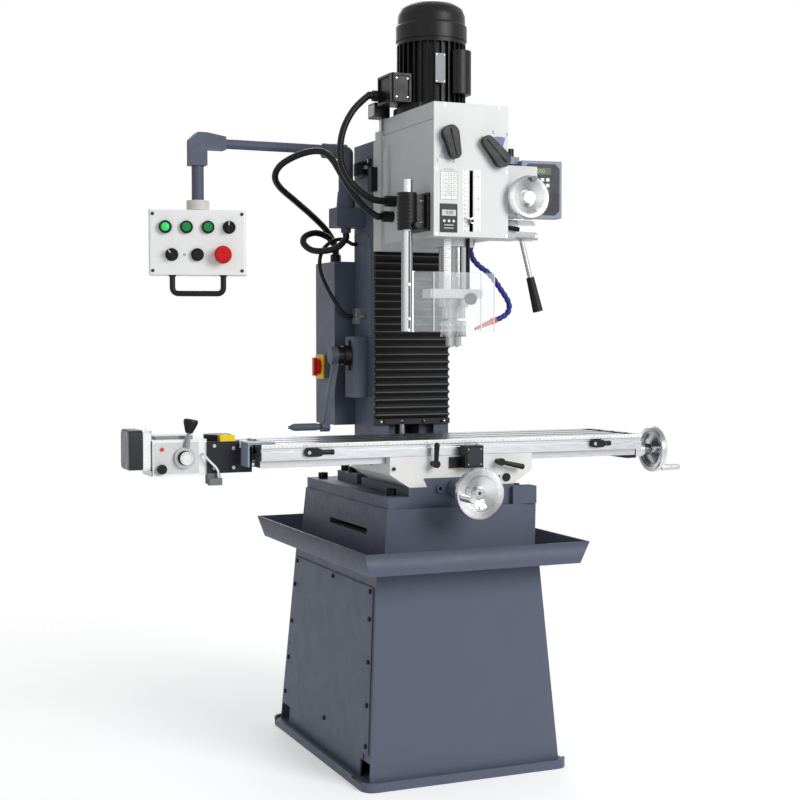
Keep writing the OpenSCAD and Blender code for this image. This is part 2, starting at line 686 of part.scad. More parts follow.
// Everything on the pendant is placed on its front face, turned to the operator
module on_pendant(x, z) {
  translate([drop_x, arm_y, 0]) rotate([0, 0, -pendant_turn])
    translate([x, -pendant_d / 2 - 6, pendant_top - pendant_h / 2 + z]) children();
}
button_row = 37;
lower_row = -30;
button_stem = 8;
well = button_travel + 2;
pendant_sites = [[-26, button_row], [26, button_row], [0, lower_row], [77, button_row],
  [-62, lower_row], [62, lower_row]];
module pendant_box() {
  color(pale) difference() {
    on_pendant(0, 0) union() {
      translate([0, pendant_d / 2, -pendant_h / 2]) rounded_block(pendant_w, pendant_d, pendant_h, 6);
    }
    on_pendant(0, 0) box_between([-pendant_w / 2 + 4, 4, -pendant_h / 2 + 4],
      [pendant_w / 2 - 4, pendant_d - 4, pendant_h / 2 - 4]);
    for (p = pendant_sites) on_pendant(p[0], p[1]) along_y([0, -5, 0])
      cylinder(d = button_stem + 2 * fit, h = 12);
    translate([drop_x, arm_y, pendant_top - 5]) cylinder(d = 22, h = 10);
  }
  color([0.8, 0.79, 0.75]) translate([drop_x, arm_y, pendant_top]) difference() {
    cylinder(d = 56, h = 26);
    translate([0, 0, 11.7]) cylinder(d = 30 + 2 * fit, h = 20);
  }
  color(grey) for (x = [-1, 1], z = [-1, 1]) on_pendant(x * (pendant_w / 2 - 10), z * (pendant_h / 2 - 10))
    along_neg_y([0, 0, 0]) cylinder(d = 8, h = 1.5, $fn = 24);
  color("green") on_pendant(-77, button_row) along_neg_y([0, 0, 0]) cylinder(d = 30, h = 9);
  color(black) on_pendant(0, -pendant_h / 2 - 1) {
    for (s = [-1, 1]) {
      translate([s * 62, 20, -44]) cylinder(d = 14, h = 45);
      translate([s * 62, 20, -44]) sphere(d = 14);
    }
    along_x([-62, 20, -44]) cylinder(d = 14, h = 124);
  }
}

// A push button whose stem runs through the front wall with room to travel
module push_button(site, d, head) {
  on_pendant(site[0], site[1]) {
    along_neg_y([0, -well, 0]) cylinder(d = d, h = head);
    along_neg_y([0, 14, 0]) cylinder(d = button_stem, h = 15 + well);
  }
}
module forward_button() { color("limegreen") push_button(pendant_sites[0], button_d, 6); }
module reverse_button() { color("limegreen") push_button(pendant_sites[1], button_d, 6); }
module coolant_button() { color(black) push_button(pendant_sites[2], button_d, 6); }
module selector(site, turn) {
  on_pendant(site[0], site[1]) {
    along_neg_y([0, -free_gap, 0]) cylinder(d = 26, h = 8);
    rotate([0, turn, 0]) box_between([-5, -20, -11], [5, -8, 14]);
    along_neg_y([0, 14, 0]) cylinder(d = button_stem, h = 15);
  }
}
module mode_selector() { color(black) selector(pendant_sites[3], 0); }
module light_selector() { color(black) selector(pendant_sites[4], -35); }
module emergency_stop() {
  color("crimson") on_pendant(pendant_sites[5][0], pendant_sites[5][1]) {
    along_neg_y([0, -well - 10, 0]) cylinder(d1 = 38, d2 = 42, h = 9);
    along_neg_y([0, -well - 18, 0]) cylinder(d1 = 42, d2 = 30, h = 5);
    along_neg_y([0, -well, 0]) cylinder(d = 20, h = 11);
    along_neg_y([0, 14, 0]) cylinder(d = button_stem, h = 15 + well);
  }
}

function dove_x(z) = dove_w / 2 + dove_slant * (z - way_z) / dove_h;
roof_z = dove_z + slide_gap + 0.3;
roof_half = dove_x(roof_z);
lip = 22;
x_dove = 100;
x_slant = 8;
x_clear = slide_gap;
module saddle() {
  s = saddle_w / 2;
  g = slide_gap;
  a = dove_w / 2;
  // Cross section with the dovetail slot; the right slant leaves room for the gib
  color(pale * 0.93) difference() {
    union() {
      prism_y(saddle_front, saddle_rear, [[-s, rail_z - g], [-s, saddle_z + 32], [-a - saddle_foot, saddle_z],
        [-a - g, saddle_z], [-roof_half - g, roof_z], [roof_half + gib_t + 2 * g, roof_z],
        [a + gib_t + 2 * g, saddle_z], [a + saddle_foot, saddle_z], [s, saddle_z + 32], [s, rail_z - g]]);
      box_between([-s, saddle_front, rail_z - 2], [s, table_front + lip, slab_z - g]);
      prism_x(-s, s, [[table_y - x_dove / 2, rail_z - 2], [table_y + x_dove / 2, rail_z - 2],
        [table_y + x_dove / 2, rail_z - g], [table_y + x_dove / 2 + x_slant, slab_z - g],
        [table_y - x_dove / 2 - x_slant, slab_z - g], [table_y - x_dove / 2, rail_z - g]]);
    }
    along_x([-s - 1, table_y, x_screw_z]) cylinder(d = 32, h = saddle_w + 2);
    box_between([-s - 1, table_y - 16, x_screw_z], [s + 1, table_y + 16, slab_z + 1]);
    for (x = [-79, 92]) along_y([x, saddle_front - 1, slab_z - 18]) cylinder(d = 12 + 2 * fit, h = 20);
  }
  gib_z = [saddle_z + 0.2, roof_z - 0.3];
  color(steel) prism_y(saddle_front + 1, saddle_rear - 1, [[dove_x(gib_z[0]) + g, gib_z[0]],
    [dove_x(gib_z[0]) + gib_t, gib_z[0]], [dove_x(gib_z[1]) + gib_t, gib_z[1]],
    [dove_x(gib_z[1]) + g, gib_z[1]]]);
  color("goldenrod") difference() {
    box_between([cross_x - 11, -200, cross_z - 12], [cross_x + 11, -150, roof_z]);
    along_y([cross_x, -201, cross_z]) cylinder(d = screw_d + 2 * fit, h = 60);
  }
  color("goldenrod") difference() {
    along_x([-25, table_y, x_screw_z]) cylinder(d = 32, h = 50);
    along_x([-26, table_y, x_screw_z]) cylinder(d = screw_d + 2 * fit, h = 60);
    box_between([-30, table_y - 20, slab_z - g - 3], [30, table_y + 20, slab_z + 20]);
  }
  color(black) {
    along_neg_y([117, saddle_front, saddle_z + 16]) cylinder(d = 20, h = 4);
    along_neg_y([-178, saddle_front, saddle_z + 46]) cylinder(d = 8, h = 5);
    box_between([-35, saddle_front - 6, slab_z - 30], [8, saddle_front, slab_z - 4]);
    box_between([-9, saddle_front - 34, slab_z - 29], [39, saddle_front - 6, slab_z + 24]);
  }
  color(steel) for (x = [-1, 1]) translate([15 + 14 * x, saddle_front - 20, slab_z + 24])
    cylinder(d = 8, h = 5);
}

// A clamp lever on the saddle's front, its arm at an angle from upright
module clamp_lever(x, turn, reach) {
  along_neg_y([x, saddle_front + 16, slab_z - 18]) cylinder(d = 12, h = 32);
  translate([x, saddle_front - 16, slab_z - 18]) rotate([0, turn, 0]) {
    along_neg_y([0, 0, 0]) cylinder(d = 18, h = 12);
    translate([0, -6, 0]) cylinder(d1 = 10, d2 = 13, h = reach);
    translate([0, -6, reach]) sphere(d = 14);
  }
}
module table_lock_left() { color(black) clamp_lever(-79, 3, 44); }
module table_lock_right() { color(black) clamp_lever(92, 103, 58); }

front_wheel_y = -base_front - front_wheel_reach;
grip_d = 17;
wheel_grip_l = 62;
module cross_handwheel() {
  hub_y = -base_front - boss_l - free_gap;
  color(steel) {
    along_neg_y([cross_x, -30, cross_z])
      cylinder(d = screw_d, h = -30 - front_wheel_y - wheel_hub_back);
    along_neg_y([cross_x, hub_y, cross_z]) difference() {
      cylinder(d = 44, h = 26);
      translate([0, 0, -1]) cylinder(d = screw_d, h = 60);
    }
    along_neg_y([cross_x, hub_y - 26, cross_z])
      handwheel(wheel_d, 40, screw_d, front_wheel_reach - boss_l - 26);
    translate([cross_x, 0, cross_z]) rotate([0, 172, 0]) along_neg_y([wheel_d / 2 - 9, front_wheel_y, 0])
      wheel_grip(grip_d, wheel_grip_l);
  }
}

end_x = table_l / 2;
rail_w = 46;
module milling_table() {
  rear = table_y + table_w / 2;
  slots = [-tslot_pitch, 0, tslot_pitch];
  inner = x_dove / 2 + x_clear;
  color(grey) difference() {
    union() {
      box_between([-end_x, table_front, slab_z], [end_x, rear, table_top]);
      for (m = [0, 1]) translate([0, table_y, 0]) mirror([0, m, 0]) prism_x(-end_x + 4, end_x - 4,
        [[inner, rail_z], [inner + rail_w, rail_z], [inner + rail_w, slab_z + eps],
          [inner + x_slant * (rail_h + x_clear) / rail_h, slab_z + eps]]);
    }
    for (y = slots) {
      box_between([-end_x - 1, table_y + y - tslot_w / 2, table_top - 22],
        [end_x + 1, table_y + y + tslot_w / 2, table_top + 1]);
      box_between([-end_x - 1, table_y + y - 12, table_top - 23],
        [end_x + 1, table_y + y + 12, table_top - 13]);
    }
    box_between([-end_x - 1, table_front - 1, table_top - 18], [end_x + 1, table_front + 4, table_top - 10]);
    for (s = [-1, 1]) box_between([s * (end_x - 28) - 14, table_front + 10, table_top - 8],
      [s * (end_x - 28) + 14, rear - 10, table_top + 1]);
  }
}

bracket_l = 30;
module end_bracket(s) {
  difference() {
    box_between([min(s * end_x, s * (end_x + bracket_l)), table_y - 48, rail_z - 12],
      [max(s * end_x, s * (end_x + bracket_l)), table_y + 48, table_top - 10]);
    along_x([-table_l, table_y, x_screw_z]) cylinder(d = screw_d + 2 * fit, h = 2 * table_l);
  }
}
module table_fittings() {
  color(black) {
    for (s = [-1, 1]) end_bracket(s);
    for (x = [[-399, -329], [350, 405]]) {
      box_between([x[0], table_front - 12, table_top - 32], [x[1], table_front, table_top - 9]);
      along_neg_y([(x[0] + x[1]) / 2, table_front - 12, table_top - 20]) cylinder(d = 12, h = 2);
    }
  }
  color("white") box_between([-end_x, table_front - 1, table_top - 9], [end_x, table_front, table_top - 1]);
  color(slate * 1.4) {
    box_between([-end_x - 30, table_front + 6, table_top], [-end_x + 34, table_front + 60, table_top + 5]);
    box_between([-end_x - 30, table_front + 6, table_top - 50], [-end_x - 26, table_front + 60, table_top]);
  }
}

right_wheel_x = end_x + right_wheel_reach;
module table_handwheel() {
  hub = end_x + bracket_l + free_gap;
  color(steel) {
    along_x([-end_x - bracket_l - 30, table_y, x_screw_z])
      cylinder(d = screw_d, h = end_x + bracket_l + 30 + right_wheel_x - wheel_hub_back);
    along_x([hub, table_y, x_screw_z]) difference() {
      cylinder(d = 44, h = 24);
      translate([0, 0, -1]) cylinder(d = screw_d, h = 60);
    }
    along_x([hub + 24, table_y, x_screw_z]) handwheel(wheel_d, 38, screw_d, right_wheel_x - hub - 24);
    translate([0, table_y, x_screw_z]) rotate([70, 0, 0]) along_x([right_wheel_x, -wheel_d / 2 + 9, 0])
      wheel_grip(grip_d, wheel_grip_l);
  }
}

drive_l = 75.7;
gear_l = 126;
cap_l = 51;
drive_x = [-end_x - bracket_l - free_gap - drive_l, -end_x - bracket_l - free_gap];
gear_x = [drive_x[0] - gear_l, drive_x[0]];
cap_x = [gear_x[0] - cap_l, gear_x[0]];
drive_h = 72;
gear_h = 82;
dial_x = gear_x[0] + 74;
dial_z = feed_low + 41;
feed_button_x = gear_x[0] + 21;
feed_button_z = feed_low + 17;
plunger_h = 90;
module feed_gearbox() {
  mid = feed_y;
  color(pale) difference() {
    box_between([gear_x[0], feed_front, feed_low], [gear_x[1], feed_front + feed_box, feed_low + gear_h]);
    along_y([dial_x, feed_front - 1, dial_z]) cylinder(d = 20 + 2 * fit, h = 40);
    along_y([feed_button_x, feed_front - 1, feed_button_z]) cylinder(d = 10 + 2 * fit, h = 40);
  }
  color(pale) box_between([cap_x[0] + 32, mid - 43, feed_low + 13], [gear_x[0], mid + 43, feed_low + 103]);
  color(black * 3) translate([cap_x[0] + 16, mid, feed_low + 15]) rounded_block(32, 86, 90, 8);
  color("red") along_neg_y([gear_x[0] + 23, feed_front, feed_low + 61]) cylinder(d = 9, h = 3);
  color(steel) translate([dial_x - 20, feed_y + 4, feed_low + gear_h]) rounded_block(90, 66, 8, 4);
}

module feed_angle_drive() {
  x0 = drive_x[0];
  x1 = drive_x[1];
  color(black) {
    difference() {
      union() {
        box_between([x0, feed_front - 6, feed_low + 4],
          [x1, feed_front + feed_box + 6, feed_low + 4 + drive_h]);
        translate([(x0 + x1) / 2, feed_y, feed_low + 3 + drive_h])
          cylinder(d = 64, h = plunger_h - 3 - drive_h);
      }
      along_x([x1 - 50, feed_y, x_screw_z]) cylinder(d = screw_d + 2 * fit, h = 60);
    }
  }
  color("gold") {
    box_between([x0 + 29, feed_front - 10, feed_low + 4 + drive_h],
      [x0 + 63, feed_front + 12, feed_low + plunger_h]);
    along_neg_y([x0 + 45, feed_front - 6, feed_low + 66]) cylinder(d = 20, h = 10);
  }
  color(grey) box_between([x0, feed_front - 22, feed_low - 22], [x0 + 30, feed_front - 6.2, feed_low - 6]);
  color(grey) box_between([x0, feed_front - 6.2, feed_low - 20], [x0 + 30, feed_front + 14, feed_low + 4]);
}

lever_turn = 10;
module feed_lever() {
  color(steel) {
    along_neg_y([dial_x, feed_front + 30, dial_z]) difference() {
      union() {
        cylinder(d = 20, h = 34);
        translate([0, 0, 30 + free_gap]) cylinder(d = 48, h = 8);
      }
      translate([0, 0, -1]) cylinder(d = 10 + 2 * fit, h = 60);
    }
    translate([dial_x, feed_front - 4.3, dial_z]) rotate([0, lever_turn, 0]) translate([0, 0, 20])
      cylinder(d = 8, h = 38);
  }
  color(black) translate([dial_x, feed_front - 4.3, dial_z]) rotate([0, lever_turn, 0])
    translate([0, 0, 56]) cylinder(d1 = 16, d2 = 33, h = 33);
}
module feed_dial() {
  color("white") along_neg_y([dial_x, feed_front - 8.6, dial_z]) cylinder(d = 30, h = 14);
  color(steel) along_neg_y([dial_x, feed_front + 28, dial_z]) cylinder(d = 10, h = 40);
}
module feed_button() {
  color(black) {
    along_neg_y([feed_button_x, feed_front - well, feed_button_z]) cylinder(d = button_d, h = 6);
    along_neg_y([feed_button_x, feed_front + 20, feed_button_z]) cylinder(d = 10, h = 21 + well);
  }
}
module feed_cable() { color("white") tube(feed_cable_route, 5, 8); }

// Conduit gland on a left-hand wall at x, reaching to the conduit's end
module side_gland(x, p) {
  along_neg_x([x, p[1], p[2]]) difference() {
    cylinder(d = conduit_d + 10, h = x - p[0]);
    translate([0, 0, x - p[0] - 4]) cylinder(d = conduit_d - 6, h = 20);
  }
}

slide_top = slide_z + slide_h;
tongue = channel_d - 0.3;
module head_slide() {
  w = column_w / 2;
  g = slide_gap;
  color(pale) {
    difference() {
      union() {
        box_between([-w, head_rear, slide_z], [w, column_y - g, slide_top]);
        translate([0, 0, slide_z]) linear_extrude(slide_h) polygon([
          [-channel_w / 2 + g + 1, column_y - 2], [channel_w / 2 - g - gib_t, column_y - 2],
          [channel_w / 2 - g - gib_t + 11.4, column_y + tongue],
          [-channel_w / 2 - 11.4 + g, column_y + tongue]]);
      }
      box_between([-60, head_rear - 1, slide_z + 40], [60, column_y - 20, slide_top - 40]);
    }
  }
  color("goldenrod") difference() {
    box_between([-30, column_y + tongue, slide_z + 90], [30, screw_y + 26, slide_z + 150]);
    translate([0, screw_y, slide_z]) cylinder(d = z_screw_d + 2 * fit, h = 300);
  }
  color(steel) translate([0, 0, slide_z + 2]) linear_extrude(slide_h - 4) polygon([
    [channel_w / 2 - gib_t, column_y + 0.3], [channel_w / 2 - 0.3, column_y + 0.3],
    [channel_w / 2 + 11.2, column_y + tongue], [channel_w / 2 - gib_t + 11.6, column_y + tongue]]);
  color(black) {
    box_between([-w, head_rear, slide_top], [-w + 8, column_y - 12, slide_top + 22]);
    box_between([-w - 17, -22, slide_z + 150], [-w, 0, slide_z + 210]);
    box_between([-w - 23, head_rear - 19, lid_top + 2], [-w + 17, head_rear + 26, lid_top + 38]);
  }
  color("goldenrod") translate([-w + 3.2, head_rear + 6, slide_top + 22])
    cylinder(d = 9.6, h = lid_top - slide_top - 20);
}

hw = head_w / 2;
boss_low = 1268;
hub_l = hub_x - hw;
worm = [141, 1382];
housing_front = -300;
fine_y = head_front - 1;
speed_pivots = [[-61, 1522], [72, 1470]];
module head_casting() {
  color(pale) {
    difference() {
      union() {
        box_between([-hw, casting_front, head_low], [hw, head_rear, lid_z]);
        translate([0, spindle_y, boss_low]) cylinder(d = quill_d + 26, h = head_low - boss_low + 1);
        box_between([-hw - 7.5, head_rear - 40, slide_z + 129], [-hw + 1, head_rear - 15, slide_z + 250]);
      }
      difference() {
        box_between([-hw + head_wall, casting_front + head_wall, head_low + 12],
          [hw - head_wall, head_rear - head_wall, lid_z + 1]);
        box_between([-hw, -200, gear_shelf_z], [hw, -150, gear_shelf_z + 12]);
      }
      translate([0, spindle_y, boss_low - 1]) cylinder(d = quill_d + 2 * fit, h = 60);
      translate([layshaft[0], layshaft[1], gear_shelf_z + 4]) cylinder(d = 20 + 2 * fit, h = 40);
      along_x([0, feed_shaft_y, feed_shaft_z]) cylinder(d = 18 + 2 * fit, h = 200);
      translate([12.5, post_y, head_low - 1]) cylinder(d = 9.5 + 2 * free_gap, h = 20);
      box_between([-51, post_y - 3, head_low - 1], [-31, post_y + 3, head_low + 20]);
      box_between([-5, casting_front - 1, 1298.8], [4, casting_front + head_wall + 1, 1441]);
      for (p = speed_pivots) along_y([p[0], casting_front - 1, p[1]])
        cylinder(d = 14 + 2 * fit, h = 30);
      for (p = guard_bolts) along_x([-hw - 1, p[0], p[1]]) cylinder(d = 8, h = 7);
    }
    // Feed hub and fine feed housing on the right side
    difference() {
      union() {
        along_x([hw, feed_shaft_y, feed_shaft_z]) cylinder(d = 54, h = hub_l);
        box_between([hw, housing_front, gear_shelf_z + 8], [198, feed_shaft_y + 20, 1464]);
        along_neg_y([worm[0], housing_front + 1, worm[1]]) cylinder(d = 54, h = housing_front - fine_y + 1);
      }
      along_x([0, feed_shaft_y, feed_shaft_z]) cylinder(d = 18 + 2 * fit, h = 300);
      along_neg_y([worm[0], feed_shaft_y, worm[1]]) cylinder(d = 14 + 2 * fit, h = 200);
      along_y([lock_x, feed_shaft_y - 40, lock_z]) cylinder(d = 10 + 2 * fit, h = 32);
    }
  }
  color(black) {
    translate([56, -225, coolant_route[0][2]]) cylinder(d = 20, h = head_low - coolant_route[0][2]);
    side_gland(-hw, motor_conduit[11]);
    side_gland(-hw, head_conduit[0]);
  }
}

module at_motor_bolts(z) {
  for (a = [45:90:315]) translate([motor_bolt_r * cos(a), motor_y + motor_bolt_r * sin(a), z]) children();
}
motor_bolt_r = 82;
module head_lid() {
  color(pale) difference() {
    box_between([-hw, casting_front, lid_z], [hw, -27, lid_top]);
    box_between([-hw + 8, casting_front + 8, lid_z - 1], [hw - 8, -27 - 8, lid_top - 9]);
    translate([0, motor_y, lid_z]) cylinder(d = 60, h = 60);
    at_motor_bolts(lid_top - 20) cylinder(d = 10, h = 30);
  }
}

slot = [-5, 4, 1298.8, 1441];
module head_panel() {
  color(pale) difference() {
    box_between([-hw, head_front, head_low], [hw, casting_front, lid_top]);
    box_between([slot[0], head_front - 1, slot[2]], [slot[1], casting_front + 1, slot[3]]);
    for (p = speed_pivots) along_y([p[0], head_front - 1, p[1]]) cylinder(d = 15, h = 10);
  }
  color(black) box_between([-81, head_front - 2, 1296], [-37, head_front, 1362]);
  color(steel) for (p = [[-70, 1589.5], [70, 1589.5], [-91, 1441.8], [91, 1441.8], [-91, 1292], [91, 1292]])
    along_neg_y([p[0], head_front, p[1]]) cylinder(d = 7, h = 1.6, $fn = 24);
}

fins = 30;
module motor_body() {
  color(black) difference() {
    union() {
      translate([0, motor_y, lid_top]) cylinder(d = 188, h = 16);
      translate([0, motor_y, motor_z - 1]) cylinder(d = motor_d - 22, h = motor_h + 1, $fn = 64);
      for (i = [0:fins - 1]) translate([0, motor_y, motor_z + 8]) rotate([0, 0, 360 * i / fins])
        translate([motor_d / 2 - 14, -1.5, 0]) cube([14, 3, motor_h - 16]);
      for (z = [motor_z, fan_z - 10]) translate([0, motor_y, z]) cylinder(d = motor_d, h = 10, $fn = 64);
    }
    translate([0, motor_y, motor_z + 10]) cylinder(d = 106, h = motor_h - 22);
    translate([0, motor_y, lid_top - 1]) cylinder(d = 24 + 2 * fit, h = motor_h + 60);
    translate([0, motor_y, lid_top - 1]) cylinder(d = 50, h = 13);
    at_motor_bolts(lid_top - 1) cylinder(d = 10, h = 30);
  }
  color(steel) at_motor_bolts(lid_top + 16) socket_screw(9, 24);
}

tb = [-123, -72, -160, -74];
cap_c = [44, motor_y - 62];
module motor_covers() {
  color(black) {
    translate([0, motor_y, 0]) difference() {
      rotate_extrude($fn = 64) polygon([[0, fan_z], [motor_d / 2 + 3, fan_z], [motor_d / 2 + 3, fan_z + 36],
        [motor_d / 2 - 1, fan_z + 40], [motor_d / 2 - 2, fan_z + fan_cover_h - 30],
        [motor_d / 2 - 8, fan_z + fan_cover_h - 15], [motor_d / 2 - 22, fan_z + fan_cover_h - 5],
        [30, fan_z + fan_cover_h], [0, fan_z + fan_cover_h]]);
      translate([0, 0, fan_z - 1]) cylinder(d = motor_d - 6, h = fan_cover_h - 28);
    }
    difference() {
      box_between([tb[0], tb[2], motor_z + 9], [tb[1], tb[3], motor_z + 80]);
      translate([0, motor_y, motor_z]) cylinder(d = motor_d + 2 * free_gap, h = motor_h);
    }
    side_gland(tb[0], motor_conduit[0]);
    difference() {
      translate([cap_c[0], cap_c[1], motor_z + 32]) cylinder(d = 64, h = 106);
      translate([0, motor_y, motor_z]) cylinder(d = motor_d + 2 * free_gap, h = motor_h);
    }
  }
}

module motor_rotor() {
  color(steel) {
    translate([0, motor_y, pinion_z - 12]) cylinder(d = 24, h = fan_z + 40 - pinion_z + 12);
    translate([0, motor_y, motor_z + 30]) cylinder(d = 102, h = motor_h - 60);
  }
  color(steel) translate([0, motor_y, pinion_z]) gear(18, motor_mesh / 3 - tip_gap, 4, 28, 23.9);
  color(grey) translate([0, motor_y, fan_z + 12]) {
    cylinder(d = 60, h = 24);
    for (a = [0:45:315]) rotate([0, 0, a]) translate([28, -1.5, 0]) cube([42, 3, 24]);
  }
}

module gear_shaft() {
  color(steel) translate([layshaft[0], layshaft[1], 0]) {
    translate([0, 0, gear_shelf_z + 5]) cylinder(d = 20, h = 200);
    translate([0, 0, pinion_z + 2]) gear(36, 2 * motor_mesh / 3 - tip_gap, 4, 24, 19.9);
    translate([0, 0, lower_gear_z]) gear(18, spindle_mesh / 3 - tip_gap, 4, 26, 19.9);
  }
}

module spindle_gear() {
  color(steel) translate([0, spindle_y, 0]) {
    difference() {
      translate([0, 0, lower_gear_z - 24]) cylinder(d = 40, h = 104);
      translate([0, 0, lower_gear_z - 25]) cylinder(d = spindle_d + 2 * fit, h = 120);
    }
    translate([0, 0, lower_gear_z]) gear(36, 2 * spindle_mesh / 3 - tip_gap, 4, 26, 39.9);
  }
}

module quill() {
  color(steel) translate([0, spindle_y, quill_low]) difference() {
    cylinder(d = quill_d, h = quill_l, $fn = 64);
    translate([0, 0, -1]) cylinder(d = spindle_d + 2 * fit, h = quill_l + 2);
    translate([0, 0, quill_l - 8]) cylinder(d = quill_d - 14, h = 20);
    for (z = [40:10:quill_l - 6]) translate([-9, quill_d / 2 - 2.5, z]) cube([18, 6, 4]);
  }
}

nose_low = 1098;
chuck_mid = nose_low - 38;
module spindle() {
  color(steel) translate([0, spindle_y, 0]) {
    translate([0, 0, nose_low]) cylinder(d = spindle_d, h = lower_gear_z - 2 - nose_low);
    translate([0, 0, nose_low]) cylinder(d = 58, h = quill_low - free_gap - nose_low);
    translate([0, 0, nose_low - 6]) cylinder(d = 22, h = 7);
    translate([0, 0, chuck_mid]) cylinder(d1 = 15.6, d2 = 17, h = nose_low - 5 - chuck_mid);
  }
}

chuck_low = chuck_mid - 28;
module drill_chuck() {
  color(steel) translate([0, spindle_y, 0]) {
    difference() {
      union() {
        translate([0, 0, chuck_mid - 2]) cylinder(d = chuck_d, h = 34, $fn = 64);
        translate([0, 0, chuck_mid - 6]) gear(24, chuck_d / 2 + 1, 3, 6, 0);
        translate([0, 0, chuck_low]) cylinder(d = 39, h = 28);
      }
      translate([0, 0, chuck_low - 1]) cylinder(d = chuck_bore, h = 27);
      translate([0, 0, chuck_mid - 0.1]) cylinder(d1 = 15.6, d2 = 17.04, h = 33.2);
      for (a = [90, 210, 330]) rotate([0, 0, a]) translate([chuck_d / 2 - 4, 0, chuck_mid + 15])
        rotate([0, 90, 0]) cylinder(d = 7, h = 8);
      for (a = [0, 120, 240]) rotate([0, 0, a]) translate([0, -2, chuck_low - 1]) cube([14, 4, 12]);
    }
    for (a = [0, 120, 240]) rotate([0, 0, a]) translate([chuck_bore / 2, -1.8, chuck_low - 3])
      cube([7, 3.6, 13]);
  }
}

stop_z = 1145;
pointer_z = 1324;
module depth_stop() {
  color(pale) difference() {
    union() {
      box_between([-90, post_y - 12, stop_z], [46, spindle_y - 20, stop_z + 21]);
      translate([0, spindle_y, stop_z]) cylinder(d = quill_d + 16, h = 21);
    }
    translate([0, spindle_y, stop_z - 1]) cylinder(d = quill_d, h = 30);
  }
  color(steel) translate([12.5, post_y, stop_z + 21]) cylinder(d = 9.5, h = pointer_z + 14 - stop_z - 21);
  color("white") box_between([-50, post_y - 2, stop_z + 21], [-32, post_y + 2, pointer_z + 10]);
  color(black) along_neg_y([12, post_y - 12, stop_z - 2]) cylinder(d = 28, h = 10);
  color(steel) {
    box_between([-3.5, post_y - 6, pointer_z - 6], [18, post_y + 6, pointer_z + 8]);
    along_neg_y([-0.5, post_y - 5, pointer_z]) cylinder(d = 7, h = -head_front + 12 + post_y + 5);
    along_neg_y([-0.5, head_front - 3, pointer_z]) cylinder(d = 16, h = 9);
    for (s = [-1, 1]) translate([-0.5, head_front - 8, pointer_z]) rotate([0, s * 70, 0])
      translate([0, -1.5, 4]) cube([3, 3, 14]);
  }
}

lever_base_x = 206;
lever_splay = 15;
lever_l = 195;
module quill_feed_lever() {
  color(steel) {
    along_x([-14, feed_shaft_y, feed_shaft_z]) cylinder(d = 18, h = hub_x + 30);
    translate([-12, feed_shaft_y, feed_shaft_z]) rotate([0, 90, 0]) gear(14, 15.9, 3.5, 24, 17.9);
  }
  color(grey) {
    along_x([hub_x + free_gap, feed_shaft_y, feed_shaft_z]) difference() {
      cylinder(d = 52, h = 54);
      translate([0, 0, -1]) cylinder(d = 17.9, h = 40);
    }
    along_x([hub_x + 54, feed_shaft_y, feed_shaft_z - 14]) cylinder(d = 18, h = 16);
  }
  translate([lever_base_x, feed_shaft_y, feed_shaft_z]) rotate([0, 180 - lever_splay, 0]) {
    color(steel) translate([0, 0, 20]) cylinder(d = 12, h = lever_l - 60);
    color(black) translate([0, 0, lever_l - 76]) cylinder(d1 = 20, d2 = 26, h = 88);
  }
}

fine_d = 104;
module fine_feed_wheel() {
  color(steel) {
    along_neg_y([worm[0], feed_shaft_y - 10, worm[1]]) cylinder(d = 14, h = feed_shaft_y - 10 - fine_y + 24);
    along_neg_y([worm[0], fine_y - free_gap, worm[1]]) rotate_extrude($fn = 64) polygon([[6.9, 0], [26, 0],
      [fine_d / 2 - 8, 6], [fine_d / 2, 12], [fine_d / 2, 22], [fine_d / 2 - 5, 28], [fine_d / 2 - 12, 27],
      [18, 16], [14, 24], [6.9, 24]]);
    along_neg_y([worm[0] + 5, fine_y - 26, worm[1] + 43]) cylinder(d = 14, h = 12);
  }
}

lock_x = 112;
lock_z = feed_shaft_z + 8;
module quill_lock_lever() {
  color(black) {
    along_neg_y([lock_x, feed_shaft_y - 12, lock_z]) cylinder(d = 10, h = 32);
    translate([lock_x, feed_shaft_y - 30, lock_z]) rotate([0, 96, 0]) {
      along_neg_y([0, 0, 0]) cylinder(d = 18, h = 12);
      translate([0, -6, 0]) cylinder(d1 = 8, d2 = 12, h = 74);
    }
  }
}

// A speed lever on the head's front: broad at its pivot, its arm at an angle from upright
module speed_lever(pivot, turn, reach) {
  translate([pivot[0], head_front - free_gap, pivot[1]]) {
    color(steel) along_neg_y([0, 20, 0]) cylinder(d = 14, h = 24);
    color(black) along_neg_y([0, 0, 0]) cylinder(d = 36, h = 8);
    color(black) rotate([0, turn, 0]) hull() {
      along_neg_y([0, -8, 0]) cylinder(d = 40, h = 14, $fn = 24);
      along_neg_y([0, -8, reach]) cylinder(d = 30, h = 12, $fn = 24);
    }
  }
}
module speed_lever_left() { speed_lever(speed_pivots[0], 165, 44); }
module speed_lever_right() { speed_lever(speed_pivots[1], -44, 53); }

readout_arm_z = 1500;
readout_z = [readout_arm_z - 128, readout_arm_z + 24];
readout_post_d = 22;
readout_arm_d = 26;
readout_boss_h = readout_arm_d + 4;
knuckle_h = 20;
knuckle_d = readout_post_d + 14;
module readout_arm() {
  color(black) {
    box_between([column_w / 2, readout_y - 20, readout_arm_z - 60],
      [column_w / 2 + 10, readout_y + 20, readout_arm_z + 40]);
    along_x([column_w / 2 + 10, readout_y, readout_arm_z])
      cylinder(d = readout_arm_d, h = readout_x - column_w / 2 - 10);
    translate([readout_x, readout_y, readout_arm_z - readout_boss_h / 2 - knuckle_h - 4])
      cylinder(d = readout_post_d, h = 96);
    translate([readout_x, readout_y, readout_arm_z - readout_boss_h / 2])
      cylinder(d = knuckle_d, h = readout_boss_h);
  }
}

